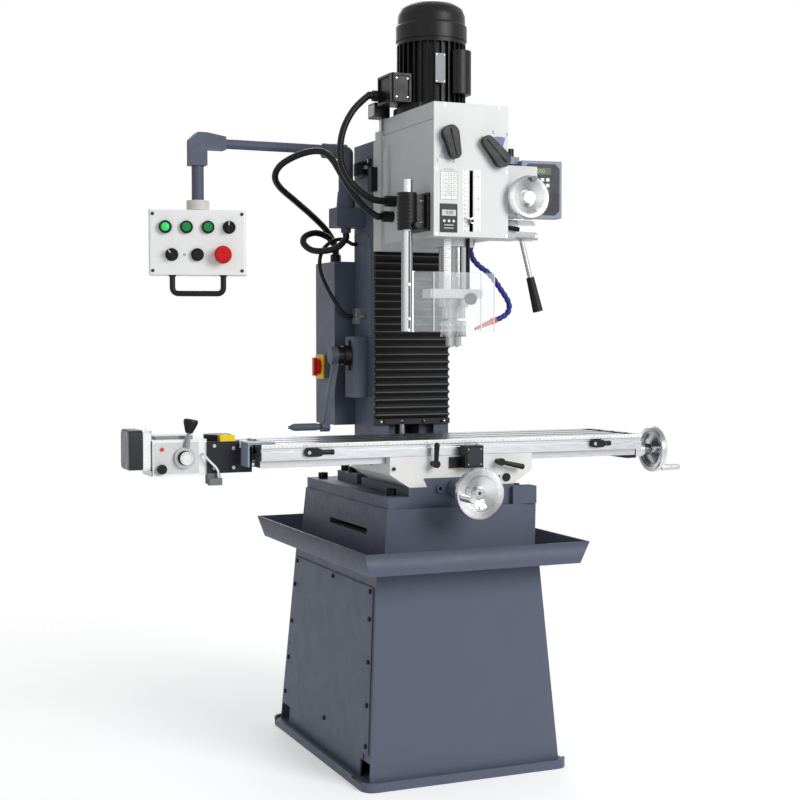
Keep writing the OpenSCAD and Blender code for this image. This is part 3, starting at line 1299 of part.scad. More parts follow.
// The display hangs on its post by a knuckle above the arm and one below it
module digital_readout() {
  low = readout_arm_z - readout_boss_h / 2 - free_gap - knuckle_h;
  high = readout_arm_z + readout_boss_h / 2 + free_gap;
  color(slate * 1.5) translate([readout_x, readout_y, 0]) rotate([0, 0, -8]) {
    difference() {
      union() {
        for (z = [low, high]) {
          translate([0, 0, z]) cylinder(d = knuckle_d, h = knuckle_h);
          box_between([0, -10, z], [24, 6, z + knuckle_h]);
        }
      }
      translate([0, 0, low - 1]) cylinder(d = readout_post_d + 2 * fit, h = high - low + knuckle_h + 2);
    }
    box_between([knuckle_d / 2 + 4, -34, readout_z[0]], [knuckle_d / 2 + 118, 12, readout_z[1]]);
  }
}

guard_bolts = [[-240, 1320], [-240, 1370], [-310, 1320], [-310, 1370]];
module guard_clamp() {
  color(black) difference() {
    union() {
      box_between([-hw - 8, -325, 1300], [-hw, -222, 1388]);
      box_between([post_x, post_y - 12, 1306], [-hw - 6, post_y + 12, 1384]);
      translate([post_x, post_y, 1302]) cylinder(d = post_d + 20, h = 86);
    }
    translate([post_x, post_y, 1200]) cylinder(d = post_d + 2 * fit, h = 300);
    for (p = guard_bolts) along_x([-hw - 20, p[0], p[1]]) cylinder(d = 8 + 2 * fit, h = 40);
  }
  color(steel) for (p = guard_bolts) along_x([-hw - 12, p[0], p[1]]) cylinder(d = 8, h = 17);
}

post_low = 1066;
screen_t = 3;
screen = [[post_x + 14, post_y], [-88, post_y - 26], [35, post_y - 26], [88, post_y + 10]];
module chip_guard() {
  color(pale) {
    translate([post_x, post_y, post_low]) cylinder(d = post_d, h = 352);
    box_between([post_x + 8, post_y - 3, post_low - 1], [post_x + 18, post_y + 3, post_low + screen_h + 2]);
  }
  color([0.8, 0.9, 0.95, 0.35]) translate([0, 0, post_low]) linear_extrude(screen_h) union() {
    for (i = [0:2]) {
      a = screen[i];
      b = screen[i + 1];
      u = screen_t / 2 * unit([a[1] - b[1], b[0] - a[0]]);
      polygon([a + u, b + u, b - u, a - u]);
    }
    for (i = [1:2]) translate(screen[i]) circle(d = screen_t, $fn = 16);
  }
}

module head_hoses() {
  color(black) tube(motor_conduit, conduit_d, 10);
  color("navy") tube(coolant_route, 14, 10);
  color("orangered") translate(coolant_route[12]) rotate([0, -90 - 22, 0]) cylinder(d1 = 16, d2 = 7, h = 62);
}
module cabinet_conduits() {
  color(black) {
    tube(head_conduit, conduit_d, 10);
    tube(pendant_conduit, conduit_d, 10);
    tube(switch_lead, 10, 8);
  }
}

stand_cabinet();
stand_side_panel();
frame_screws();
chip_tray();
base_casting();
column();
z_leadscrew();
z_crank_bracket();
z_crank();
way_bellows();
limit_switches();
electrical_cabinet();
cabinet_door();
main_switch_knob();
arm_bearing_block();
pendant_arm();
pendant_box();
forward_button();
reverse_button();
coolant_button();
mode_selector();
light_selector();
emergency_stop();
saddle();
table_lock_left();
table_lock_right();
cross_handwheel();
milling_table();
table_fittings();
table_handwheel();
feed_gearbox();
feed_angle_drive();
feed_lever();
feed_dial();
feed_button();
feed_cable();
head_slide();
head_casting();
head_lid();
head_panel();
motor_body();
motor_covers();
motor_rotor();
gear_shaft();
spindle_gear();
quill();
spindle();
drill_chuck();
depth_stop();
quill_feed_lever();
fine_feed_wheel();
quill_lock_lever();
speed_lever_left();
speed_lever_right();
readout_arm();
digital_readout();
guard_clamp();
chip_guard();
head_hoses();
cabinet_conduits();
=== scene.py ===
import json
from math import cos, hypot, pi, radians, sin

import bmesh
import bpy
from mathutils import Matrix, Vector


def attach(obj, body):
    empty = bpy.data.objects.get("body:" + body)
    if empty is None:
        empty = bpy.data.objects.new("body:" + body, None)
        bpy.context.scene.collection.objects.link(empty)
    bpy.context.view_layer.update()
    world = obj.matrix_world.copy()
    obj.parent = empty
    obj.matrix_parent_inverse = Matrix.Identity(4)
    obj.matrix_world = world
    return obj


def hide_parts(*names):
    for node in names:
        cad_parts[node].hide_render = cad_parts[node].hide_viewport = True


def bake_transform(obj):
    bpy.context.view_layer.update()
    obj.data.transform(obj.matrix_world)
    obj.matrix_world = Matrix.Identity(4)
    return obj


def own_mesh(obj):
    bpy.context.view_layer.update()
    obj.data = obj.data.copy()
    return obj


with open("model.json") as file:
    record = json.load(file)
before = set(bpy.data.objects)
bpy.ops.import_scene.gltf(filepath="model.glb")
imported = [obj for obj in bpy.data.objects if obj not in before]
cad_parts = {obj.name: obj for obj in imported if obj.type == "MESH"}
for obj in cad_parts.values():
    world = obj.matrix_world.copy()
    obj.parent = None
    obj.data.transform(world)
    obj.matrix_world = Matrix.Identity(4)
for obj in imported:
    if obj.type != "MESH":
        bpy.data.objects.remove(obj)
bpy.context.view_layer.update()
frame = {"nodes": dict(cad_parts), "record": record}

# Lengths below are in millimetres, in the CAD part's frame, and become metres when a piece is made
MM = 0.001
X, Y, Z = Vector((1, 0, 0)), Vector((0, 1, 0)), Vector((0, 0, 1))
record = frame["record"]
body_of = {n: b for b, nodes in record["behaviour"]["bodies"].items() for n in nodes}
slot_of = {s["node"]: s["material_slot"] for s in record["subparts"]}


def link(name, data):
    """A new object in the scene's collection."""
    made = bpy.data.objects.new(name, data)
    bpy.context.scene.collection.objects.link(made)
    return made


def lean(degrees):
    """The way up, leant over to the right by some degrees."""
    return Vector((sin(radians(degrees)), 0, cos(radians(degrees))))


# Camera at the photograph's viewing angle: millimetres, degrees, and a lens for that width of sensor
CAMERA_PLACE = (-1480.67, -3376.28, 1041.79)
CAMERA_YAW = 23.193
CAMERA_PITCH = 2.322
CAMERA_LENS = 64.6
CAMERA_SENSOR = 36


def make_camera():
    data = bpy.data.cameras.new("camera")
    data.sensor_width = CAMERA_SENSOR
    data.lens = CAMERA_LENS
    camera = link("camera", data)
    camera.location = Vector(CAMERA_PLACE) * MM
    camera.rotation_euler = (radians(90 - CAMERA_PITCH), 0, radians(-CAMERA_YAW))
    bpy.context.scene.camera = camera


def srgb(r, g, b):
    """Linear colour of an sRGB colour given in 0 to 255."""
    def one(v):
        v /= 255
        return v / 12.92 if v <= 0.04045 else ((v + 0.055) / 1.055) ** 2.4
    return (one(r), one(g), one(b), 1.0)


class Shader:
    """A node material with short calls for the nodes used here."""

    def __init__(self, name):
        self.material = bpy.data.materials.new(name)
        self.material.use_nodes = True
        self.tree = self.material.node_tree
        self.bsdf = self.tree.nodes["Principled BSDF"]
        self.place = self.node("ShaderNodeTexCoord").outputs["Object"]

    def node(self, kind, inputs=None, **props):
        made = self.tree.nodes.new(kind)
        for name, value in props.items():
            setattr(made, name, value)
        for name, value in (inputs or {}).items():
            self.put(made.inputs[name], value)
        return made

    def put(self, socket, value):
        if isinstance(value, bpy.types.NodeSocket):
            self.tree.links.new(value, socket)
        else:
            socket.default_value = value

    def set(self, **values):
        for name, value in values.items():
            self.put(self.bsdf.inputs[name.replace("_", " ")], value)
        return self

    def mapped(self, scale=(1, 1, 1), location=(0, 0, 0)):
        inputs = {"Vector": self.place, "Scale": scale, "Location": location}
        return self.node("ShaderNodeMapping", inputs).outputs["Vector"]

    def noise(self, scale, detail=3.0, stretch=(1, 1, 1), rough=0.5):
        vector = self.mapped(stretch)
        inputs = {"Vector": vector, "Scale": scale, "Detail": detail, "Roughness": rough}
        return self.node("ShaderNodeTexNoise", inputs).outputs["Fac"]

    def remap(self, value, low, high, from_low=0.3, from_high=0.7):
        inputs = {"Value": value, "From Min": from_low, "From Max": from_high, "To Min": low, "To Max": high}
        return self.node("ShaderNodeMapRange", inputs).outputs["Result"]

    def mix(self, factor, a, b):
        made = self.node("ShaderNodeMix", data_type="RGBA")
        self.put(made.inputs["Factor"], factor)
        self.put(made.inputs["A"], a)
        self.put(made.inputs["B"], b)
        return made.outputs["Result"]

    def bump(self, height, strength, distance):
        inputs = {"Height": height, "Strength": strength, "Distance": distance}
        self.set(Normal=self.node("ShaderNodeBump", inputs).outputs["Normal"])
        return self


def shade(color, k):
    return (color[0] * k, color[1] * k, color[2] * k, 1.0)


# Specular level of paint and plastic, and in metres the depth of each finish's fine relief
SHEEN = 0.22
PEEL, SAND_SKIN, TOOL_MARKS, MOULD_GRAIN = 0.0004, 0.0009, 0.0003, 0.00025
# Shade painted into the sectors between the painted highlights of turned metal
PAINTED_DARK_SECTOR = 0.42
# Axes of the turned parts, round which their sectors of painted highlight turn
SPINDLE, GUARD_POST = (0, -246, 0), (-145, -300, 0)
FRONT_WHEEL, RIGHT_WHEEL, FINE_WHEEL = (-20, 0, 694), (0, -178, 760.6), (141, 0, 1382)


def paint(name, color, rough=0.42, grain=0.25, grain_scale=260, spread=0.06):
    """Enamel or powder coat: slight clouding, uneven gloss and a fine orange peel."""
    s = Shader(name)
    cloud = s.noise(9, 4)
    s.set(Base_Color=s.mix(cloud, shade(color, 1 - spread), shade(color, 1 + spread)))
    s.set(Roughness=s.remap(s.noise(28, 4), rough - 0.05, rough + 0.07), Specular_IOR_Level=SHEEN)
    return s.bump(s.noise(grain_scale, 3), grain, PEEL).material


def casting(name, color, rough=0.5, grain=0.5, grain_scale=170):
    """Painted casting: the sand's skin shows through as a rougher, uneven surface."""
    s = Shader(name)
    s.set(Base_Color=s.mix(s.noise(14, 6), shade(color, 0.92), shade(color, 1.06)))
    s.set(Roughness=s.remap(s.noise(40, 4), rough - 0.06, rough + 0.1), Specular_IOR_Level=SHEEN)
    return s.bump(s.noise(grain_scale, 5, rough=0.62), grain, SAND_SKIN).material


def metal(name, color, rough=0.3, stretch=(1, 1, 1), scale=60, grain=0.12, spread=0.1):
    """Bare metal with tool or grinding marks drawn out along one direction."""
    s = Shader(name)
    lines = s.noise(scale, 5, stretch)
    s.set(Base_Color=s.mix(lines, shade(color, 1 - spread), shade(color, 1 + spread)), Metallic=1.0)
    s.set(Roughness=s.remap(s.noise(scale * 0.6, 3, stretch), rough - 0.06, rough + 0.1))
    return s.bump(lines, grain, TOOL_MARKS).material


def turned(name, color, centre, axis, lobes=2, phase=0.0, rough=0.24):
    """Lathe-turned metal: painted highlights and painted shade in sectors round the axis, over fine
    concentric marks.
    """
    s = Shader(name)
    parts = s.node("ShaderNodeSeparateXYZ", {"Vector": s.place}).outputs
    across = [(parts[k], c * MM) for k, c in zip("XYZ", centre) if k != axis]
    u, v = [s.node("ShaderNodeMath", {0: a, 1: c}, operation="SUBTRACT").outputs[0] for a, c in across]
    angle = s.node("ShaderNodeMath", {0: v, 1: u}, operation="ARCTAN2").outputs[0]
    turns = s.node("ShaderNodeMath", {0: angle, 1: lobes, 2: phase}, operation="MULTIPLY_ADD").outputs[0]
    wave = s.node("ShaderNodeMath", {0: turns}, operation="SINE").outputs[0]
    # The base colour is lighter and darker by the angle round the axis: painted highlight and painted shade
    bright = s.remap(wave, 0.0, 1.0, -0.9, 0.9)
    s.set(Base_Color=s.mix(bright, shade(color, PAINTED_DARK_SECTOR), color), Metallic=1.0)
    s.set(Roughness=s.remap(s.noise(90, 3), rough - 0.05, rough + 0.08))
    return s.material


def plastic(name, color, rough=0.38, grain=0.2, grain_scale=700, spread=0.07):
    """Moulded plastic or rubber with a fine spark-eroded grain."""
    s = Shader(name)
    s.set(Base_Color=s.mix(s.noise(22, 4), shade(color, 1 - spread), shade(color, 1 + spread)))
    s.set(Roughness=s.remap(s.noise(55, 3), rough - 0.04, rough + 0.08), Specular_IOR_Level=SHEEN)
    return s.bump(s.noise(grain_scale, 2), grain, MOULD_GRAIN).material


def glow(name, color, strength):
    """A lit lens: brighter at some places than at others, with a glossy skin."""
    s = Shader(name)
    s.set(Base_Color=s.mix(s.noise(300, 2), shade(color, 0.8), color), Roughness=0.2)
    s.set(Emission_Color=color, Emission_Strength=strength)
    return s.material


def clear_sheet(name):
    """Clear polycarbonate with faint scratches and dust."""
    s = Shader(name)
    s.set(Base_Color=srgb(238, 243, 244), Alpha=s.remap(s.noise(35, 5), 0.15, 0.22))
    s.set(Roughness=s.remap(s.noise(90, 4, (1, 1, 6)), 0.05, 0.16), IOR=1.5)
    return s.material


SLATE = srgb(85, 91, 107)
slate_paint = paint("slate_paint", SLATE, 0.46)
slate_panel = paint("slate_panel", SLATE, 0.5, grain=0.35)
slate_light = paint("slate_light", srgb(140, 150, 170), 0.42)
slate_casting = casting("slate_casting", SLATE, 0.5)
grey_casting = casting("grey_casting", srgb(150, 152, 155), 0.46)
pale_casting = casting("pale_casting", srgb(214, 215, 215), 0.5, grain=0.3)
light_casting = casting("light_casting", srgb(226, 227, 224), 0.44, grain=0.3)
pale_paint = paint("pale_paint", srgb(246, 246, 246), 0.42, grain=0.12, spread=0.02)
panel_paint = paint("panel_paint", srgb(216, 217, 217), 0.36, grain=0.06, spread=0.02)
dark_paint = paint("dark_paint", srgb(46, 48, 53), 0.4, grain=0.15)
machined = metal("machined_iron", srgb(182, 184, 187), 0.34, (1, 12, 12), 40, spread=0.16)
ground_top = metal("ground_top", srgb(158, 160, 163), 0.26, (1, 30, 1), 30, spread=0.3)
steel = metal("turned_steel", srgb(176, 177, 180), 0.26, (1, 1, 14), 60, spread=0.2)
chrome = turned("chrome", srgb(188, 189, 192), SPINDLE, "Z", 5, 0.6, 0.18)
front_wheel_metal = turned("front_wheel_metal", srgb(224, 225, 227), FRONT_WHEEL, "Y", 2, 0.4)
right_wheel_metal = turned("right_wheel_metal", srgb(214, 215, 218), RIGHT_WHEEL, "X", 2, 0.4)
fine_wheel_metal = turned("fine_wheel_metal", srgb(224, 225, 227), FINE_WHEEL, "Y", 2, 1.2)
aluminium = metal("aluminium", srgb(190, 192, 195), 0.34, (8, 8, 1), 90, spread=0.16)
post_metal = turned("post_metal", srgb(214, 216, 218), GUARD_POST, "Z", 3, 1.0, 0.3)
black_steel = metal("black_oxide", srgb(30, 30, 32), 0.45, (1, 1, 1), 120)
black_paint = paint("black_paint", srgb(20, 20, 22), 0.36, grain=0.2)
black_plastic = plastic("black_plastic", srgb(22, 22, 24), 0.36)
dark_casting = casting("dark_casting", srgb(28, 31, 38), 0.42)
rubber = plastic("rubber", srgb(14, 14, 15), 0.6, grain=0.3)
# Paler rubber for the bellows' ridges: a painted highlight
ridge_highlight_rubber = plastic("ridge_highlight_rubber", srgb(84, 86, 88), 0.5, grain=0.2)
hose_black = plastic("hose_black", srgb(14, 14, 15), 0.26)
hose_blue = plastic("hose_blue", srgb(34, 48, 128), 0.3)
orange_plastic = plastic("orange_plastic", srgb(222, 88, 48), 0.34)
red_plastic = plastic("red_plastic", srgb(206, 30, 28), 0.28)
yellow_plastic = plastic("yellow_plastic", srgb(238, 202, 34), 0.4)
green_plastic = plastic("green_plastic", srgb(30, 140, 72), 0.3)
white_plastic = plastic("white_plastic", srgb(238, 238, 236), 0.36)
beige_plastic = plastic("beige_plastic", srgb(214, 211, 203), 0.42)
grey_plastic = plastic("grey_plastic", srgb(116, 119, 125), 0.4)
silver_plate = metal("silver_plate", srgb(124, 126, 130), 0.36, (20, 1, 1), 60, spread=0.25)
clear_screen = clear_sheet("clear_screen")
# Opaque pale plastic on the clear sheet's edges: a painted highlight
painted_edge_highlight = plastic("painted_edge_highlight", srgb(236, 242, 244), 0.2, grain=0.02)
green_lamp = glow("green_lamp", srgb(40, 214, 96), 0.35)
red_lamp = glow("red_lamp", srgb(214, 36, 32), 0.2)
lcd_glass = plastic("lcd_glass", srgb(178, 194, 178), 0.16, grain=0.02)
lcd_dark = plastic("lcd_dark", srgb(52, 60, 46), 0.16, grain=0.02)
lcd_green = plastic("lcd_green", srgb(150, 200, 120), 0.3, grain=0.02)
ink_black = plastic("ink_black", srgb(34, 36, 40), 0.5, grain=0.05)
ink_pale = plastic("ink_pale", srgb(176, 180, 186), 0.5, grain=0.05)
ink_blue = plastic("ink_blue", srgb(120, 132, 168), 0.5, grain=0.05)


# Steps round a turned part, and the radius in millimetres under which a profile's point lies on the axis
ROUND_STEPS = 64
ON_AXIS = 1e-6
# Edges sharper than this many degrees are eased, and shaded as edges
EDGE_ANGLE = 35


class Piece:
    """Collects mesh parts in millimetres, then becomes one object riding on a CAD body."""

    def __init__(self, name, *materials):
        self.name = name
        self.materials = materials
        self.bm = bmesh.new()

    def add(self, points, faces, m=0):
        verts = [self.bm.verts.new(Vector(p)) for p in points]
        for f in faces:
            face = self.bm.faces.new([verts[i] for i in f])
            face.material_index = m
        return verts

    def box(self, lo, hi, m=0):
        """A block between two corners."""
        p = [(x, y, z) for x in (lo[0], hi[0]) for y in (lo[1], hi[1]) for z in (lo[2], hi[2])]
        quads = [(0, 1, 3, 2), (4, 6, 7, 5), (0, 4, 5, 1), (2, 3, 7, 6), (0, 2, 6, 4), (1, 5, 7, 3)]
        self.add(p, quads, m)

    def hoop(self, at, u, v, r, steps):
        """A ring of vertices round a point, in the plane of u and v."""
        turns = [2 * pi * k / steps for k in range(steps)]
        return [self.bm.verts.new(at + (u * cos(t) + v * sin(t)) * r) for t in turns]

    def band(self, a, b, m):
        """Faces between two rings of as many vertices."""
        for k in range(len(a)):
            n = (k + 1) % len(a)
            self.bm.faces.new([a[k], a[n], b[n], b[k]]).material_index = m

    def lathe(self, profile, at, axis, m=0, steps=ROUND_STEPS):
        """A turned part: profile is (radius, height) along axis from at, closed at both ends."""
        axis = Vector(axis).normalized()
        u = axis.orthogonal().normalized()
        v = axis.cross(u)
        at = Vector(at)
        rings = [self.hoop(at + axis * h, u, v, r, steps) if r >= ON_AXIS
                 else [self.bm.verts.new(at + axis * h)] for r, h in profile]
        for a, b in zip(rings, rings[1:]):
            if len(a) == 1 and len(b) == 1:
                continue
            for k in range(steps):
                n = (k + 1) % steps
                ring = [a[k % len(a)], a[n % len(a)], b[n % len(b)], b[k % len(b)]]
                self.bm.faces.new(list(dict.fromkeys(ring))).material_index = m
        for ring in (rings[0], rings[-1]):
            if len(ring) > 1:
                self.bm.faces.new(ring).material_index = m

    def rod(self, a, b, r, m=0, ease=None, steps=32):
        """A round bar from a to b with eased ends."""
        a, b = Vector(a), Vector(b)
        length = (b - a).length
        e = min(0.8, r / 4) if ease is None else ease
        profile = [(0, 0), (r - e, 0), (r, e), (r, length - e), (r - e, length), (0, length)]
        self.lathe(profile, a, b - a, m, steps)

    def ring(self, inner, outer, height, at, axis, m=0, ease=0.5):
        """A round ring or washer, open in the middle."""
        e = ease
        profile = [(inner, e), (inner + e, 0), (outer - e, 0), (outer, e), (outer, height - e),
                   (outer - e, height), (inner + e, height), (inner, height - e)]
        axis = Vector(axis).normalized()
        u = axis.orthogonal().normalized()
        v = axis.cross(u)
        rings = [self.hoop(Vector(at) + axis * h, u, v, r, ROUND_STEPS) for r, h in profile]
        for a, b in zip(rings, rings[1:] + rings[:1]):
            self.band(a, b, m)

    def prism(self, outline, at, u, v, depth, m=0):
        """An outline in the plane of u and v at a point, drawn out by depth along u x v."""
        u, v, at = Vector(u), Vector(v), Vector(at)
        w = u.cross(v).normalized() * depth
        base = [at + u * p[0] + v * p[1] for p in outline]
        n = len(base)
        sides = [(i, (i + 1) % n, (i + 1) % n + n, i + n) for i in range(n)]
        ends = [tuple(range(n - 1, -1, -1)), tuple(range(n, 2 * n))]
        self.add(base + [p + w for p in base], sides + ends, m)

    def sweep(self, path, radius, m=0, sides=16):
        """A round tube along a path; radius is a number or a function of the point's index."""
        path = [Vector(p) for p in path]
        normal = None
        rings = []
        for i, p in enumerate(path):
            t = (path[min(i + 1, len(path) - 1)] - path[max(i - 1, 0)]).normalized()
            normal = t.orthogonal() if normal is None else normal - t * normal.dot(t)
            normal.normalize()
            side = t.cross(normal)
            r = radius(i) if callable(radius) else radius
            rings.append(self.hoop(p, normal, side, r, sides))
        for a, b in zip(rings, rings[1:]):
            self.band(a, b, m)
        for ring in (rings[0], rings[-1]):
            self.bm.faces.new(ring).material_index = m

    def text(self, words, size, at, u=X, v=Z, m=0, lift=0.15):
        """Flat figures, centred at a point, with u along the line and v up."""
        curve = bpy.data.curves.new("figures", "FONT")
        curve.body = words
        curve.size = size
        curve.align_x = "CENTER"
        curve.align_y = "CENTER"
        curve.resolution_u = 3
        holder = link("figures", curve)
        flat = holder.to_mesh()
        out = Vector(u).cross(Vector(v)).normalized() * lift
        points = [Vector(at) + Vector(u) * p.co.x + Vector(v) * p.co.y + out for p in flat.vertices]
        self.add(points, [tuple(f.vertices) for f in flat.polygons], m)
        holder.to_mesh_clear()
        bpy.data.objects.remove(holder)
        bpy.data.curves.remove(curve)

    def done(self, body, slot, bevel=0.0, segments=2, angle=EDGE_ANGLE, replaces=()):
        bmesh.ops.recalc_face_normals(self.bm, faces=self.bm.faces)
        bmesh.ops.scale(self.bm, vec=(MM, MM, MM), verts=self.bm.verts)
        mesh = bpy.data.meshes.new(self.name)
        self.bm.to_mesh(mesh)
        self.bm.free()
        return place(self.name, mesh, self.materials, body, slot, bevel, segments, angle, replaces)


def place(name, mesh, materials, body, slot, bevel, segments=2, angle=EDGE_ANGLE, replaces=()):
    """A mesh as a visible piece, riding on its body unless that is None."""
    for material in materials:
        mesh.materials.append(material)
    mesh.polygons.foreach_set("use_smooth", [True] * len(mesh.polygons))
    mesh.set_sharp_from_angle(angle=radians(angle))
    piece = link(name, mesh)
    if bevel:
        eased = piece.modifiers.new("eased_edges", "BEVEL")
        eased.width = bevel * MM
        eased.segments = segments
        eased.limit_method = "ANGLE"
        eased.angle_limit = radians(EDGE_ANGLE)
        eased.use_clamp_overlap = True
        eased.harden_normals = True
    if body:
        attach(piece, body)
    if replaces:
        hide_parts(*replaces)
    return piece


# Vertices of a CAD mesh closer than this in metres are joined, edges flatter than this in degrees dissolved
WELD, FLAT = 2e-6, 0.6


def dress(node, materials, bevel, rule=None, keep=None):
    """A copy of a CAD node: rule(centre, normal) picks a face's material, keep(centre) says if it stays."""
    bm = bmesh.new()
    bm.from_mesh(frame["nodes"][node].data)
    bmesh.ops.remove_doubles(bm, verts=bm.verts, dist=WELD)
    bmesh.ops.dissolve_limit(bm, angle_limit=radians(FLAT), verts=bm.verts, edges=bm.edges)
    for face in bm.faces:
        centre = face.calc_center_median() / MM
        face.material_index = rule(centre, face.normal) if rule else 0
    if keep:
        doomed = [f for f in bm.faces if not keep(f.calc_center_median() / MM)]
        bmesh.ops.delete(bm, geom=doomed, context="FACES")
    name = node + "_dressed"
    mesh = bpy.data.meshes.new(name)
    index = {v: i for i, v in enumerate(bm.verts)}
    mesh.from_pydata([v.co for v in bm.verts], [], [[index[v] for v in f.verts] for f in bm.faces])
    mesh.polygons.foreach_set("material_index", [f.material_index for f in bm.faces])
    bm.free()
    place(name, mesh, materials, body_of[node], slot_of[node], bevel, replaces=(node,))


# Routes of the cords, in millimetres, the same points as the CAD part's
MOTOR_CONDUIT = [(-147, -92, 1644), (-152, -92, 1644), (-158, -92, 1644), (-204, -106, 1602),
                 (-233, -112, 1548), (-240, -114, 1490), (-228, -116, 1449), (-198, -118, 1412),
                 (-162, -118, 1391), (-138, -118, 1386), (-131, -118, 1386), (-124, -118, 1386)]
HEAD_CONDUIT = [(-124, -99, 1350), (-131, -99, 1350), (-138, -99, 1350), (-166, -86, 1372),
                (-192, -66, 1412), (-211, -42, 1457), (-224, -16, 1494), (-240, 6, 1514), (-266, 24, 1516),
                (-302, 40, 1504), (-333, 60, 1483), (-340, 84, 1458), (-318, 112, 1434), (-262, 146, 1402),
                (-208, 180, 1372), (-160, 204, 1338), (-132, 216, 1304), (-126, 218, 1284),
                (-126, 218, 1278), (-126, 218, 1271)]
PENDANT_CONDUIT = [(-147, 90, 1322), (-147, 90, 1316), (-147, 90, 1309), (-166, 95, 1286),
                   (-196, 108, 1276), (-226, 128, 1278), (-242, 148, 1296), (-232, 162, 1316),
                   (-200, 172, 1326), (-164, 178, 1316), (-144, 180, 1294), (-142, 180, 1284),
                   (-142, 180, 1278), (-142, 180, 1271)]
SWITCH_LEAD = [(-105, 120, 1296), (-111, 120, 1296), (-118, 120, 1296), (-144, 126, 1308),
               (-172, 130, 1301), (-196, 132, 1278), (-204, 132, 1242), (-195, 132, 1206),
               (-172, 132, 1162), (-148, 128, 1124), (-132, 122, 1109), (-123, 120, 1108),
               (-117.3, 120, 1108)]
COOLANT_HOSE = [(56, -225, 1276), (56, -225, 1269), (56, -225, 1261), (63, -225, 1243), (80, -225, 1226),
                (103, -225, 1211), (122, -225, 1192), (138, -225, 1171), (151, -225, 1154),
                (160, -225, 1139), (162, -225, 1124), (155, -226, 1111), (138, -228, 1101),
                (124, -230, 1096), (118, -231, 1094)]
FEED_CABLE = [(-616, -224, 789), (-616, -229, 789), (-616, -234, 789), (-610, -239, 780),
              (-600, -240, 769), (-590, -240, 759), (-584, -239, 749), (-583, -238, 741),
              (-583, -238, 737), (-583, -238, 734.3)]
CONDUIT_D, LEAD_D, COOLANT_D, CABLE_D = 17, 10, 14, 5
# Steps between two points of a route, points of a cord's sampled line, and sides of a cord's tube
ROUTE_PARTS, CORD_POINTS, CORD_SIDES = 8, 30, 20
# A conduit's ribs: their pitch, the depth of the grooves, and how many rings stay plain at each end
RIB_PITCH, RIB_DEPTH, PLAIN_RINGS = 6.0, 0.5, 5
# The coolant hose's rings are this far apart, and its nozzle is turned this many degrees from upright
HOSE_STEP, NOZZLE_TURN = 3.0, 112


def smooth_route(points, parts):
    """Catmull-Rom curve through the points, with that many steps between two of them."""
    p = [Vector(q) for q in points]
    out = []
    for i in range(len(p) - 1):
        a, b, c, d = p[max(i - 1, 0)], p[i], p[i + 1], p[min(i + 2, len(p) - 1)]
        for k in range(parts):
            t = k / parts
            out.append(0.5 * (2 * b + t * (c - a) + t * t * (2 * a - 5 * b + 4 * c - d)
                              + t ** 3 * (3 * b - a - 3 * c + d)))
    return out + [p[-1]]


def route_length(path):
    return sum((b - a).length for a, b in zip(path, path[1:]))


def even_route(path, step):
    """The same path with points a step apart."""
    total = route_length(path)
    count = max(2, round(total / step))
    out, i, done = [path[0]], 0, 0.0
    for k in range(1, count):
        want = total * k / count
        while done + (path[i + 1] - path[i]).length < want:
            done += (path[i + 1] - path[i]).length
            i += 1
        out.append(path[i].lerp(path[i + 1], (want - done) / (path[i + 1] - path[i]).length))
    return out + [path[-1]]


def make_cord(name, points, diameter, node, material, stiffness, rib=0.0, ends=None):
    """A cord along its route, with grooves of depth rib; given ends, it stays in place instead of riding on
    its node's body.
    """
    path = even_route(smooth_route(points, ROUTE_PARTS), RIB_PITCH / 4)
    piece = Piece(name, material)
    groove = [0.0, 0.0, rib, rib]
    ribbed = range(PLAIN_RINGS, len(path) - PLAIN_RINGS)
    piece.sweep(path, lambda i: diameter / 2 - (groove[i % 4] if i in ribbed else 0.0), sides=CORD_SIDES)
    made = piece.done(None if ends else body_of[node], slot_of[node], replaces=(node,))
    if ends:
        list(ends)
        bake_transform(made)
    line = even_route(smooth_route(points, ROUTE_PARTS), route_length(path) / CORD_POINTS)
    route_length(path) * MM


def make_cords():
    conduit = (CONDUIT_D, "cabinet_conduits", hose_black, "stiff", RIB_DEPTH)
    make_cord("motor_conduit", MOTOR_CONDUIT, CONDUIT_D, "head_hoses", hose_black, "stiff", RIB_DEPTH)
    make_cord("head_conduit", HEAD_CONDUIT, *conduit, ends=("head", "root"))
    make_cord("pendant_conduit", PENDANT_CONDUIT, *conduit)
    make_cord("switch_lead", SWITCH_LEAD, LEAD_D, "cabinet_conduits", hose_black, "medium")
    make_cord("feed_lead", FEED_CABLE, CABLE_D, "feed_cable", white_plastic, "medium")


def make_coolant_hose():
    """Blue hose of interlocking segments, with its orange nozzle."""
    path = even_route(smooth_route(COOLANT_HOSE, ROUTE_PARTS), HOSE_STEP)
    r = COOLANT_D / 2
    swell = [r - 1.6, r, r, r, r - 0.6]
    piece = Piece("coolant_hose", hose_blue)
    piece.sweep(path, lambda i: swell[i % 5], sides=CORD_SIDES)
    hose = piece.done("head", "hose_rubber", replaces=("head_hoses",))
    tip = Piece("coolant_nozzle", orange_plastic)
    way = lean(-NOZZLE_TURN)
    tip.lathe([(0, 0), (7.6, 0), (8, 0.6), (8, 12), (6.6, 13), (3.6, 60), (3.2, 61), (1.8, 61), (1.8, 50),
               (0, 50)], Vector(COOLANT_HOSE[-1]) - way * 4, way, steps=40)
    nozzle = tip.done("head", "hose_rubber")
    route_length(path) * MM


# Strength of the world's plain light and of the floor's own glow, and half the floor's side in metres
WORLD_LIGHT, FLOOR_GLOW, FLOOR_HALF = 0.4, 0.3, 6.0
# Name, place and size in metres, and power of each lamp; all of them look at LAMPS_AIM
LAMPS = [("key_lamp", (1.6, -4.2, 2.6), 2.6, 150), ("fill_lamp", (-3.6, -2.2, 2.2), 2.6, 4),
         ("rim_lamp", (0.8, 3.4, 3.2), 2.4, 50)]
LAMPS_AIM = Vector((0, 0, 1.0))


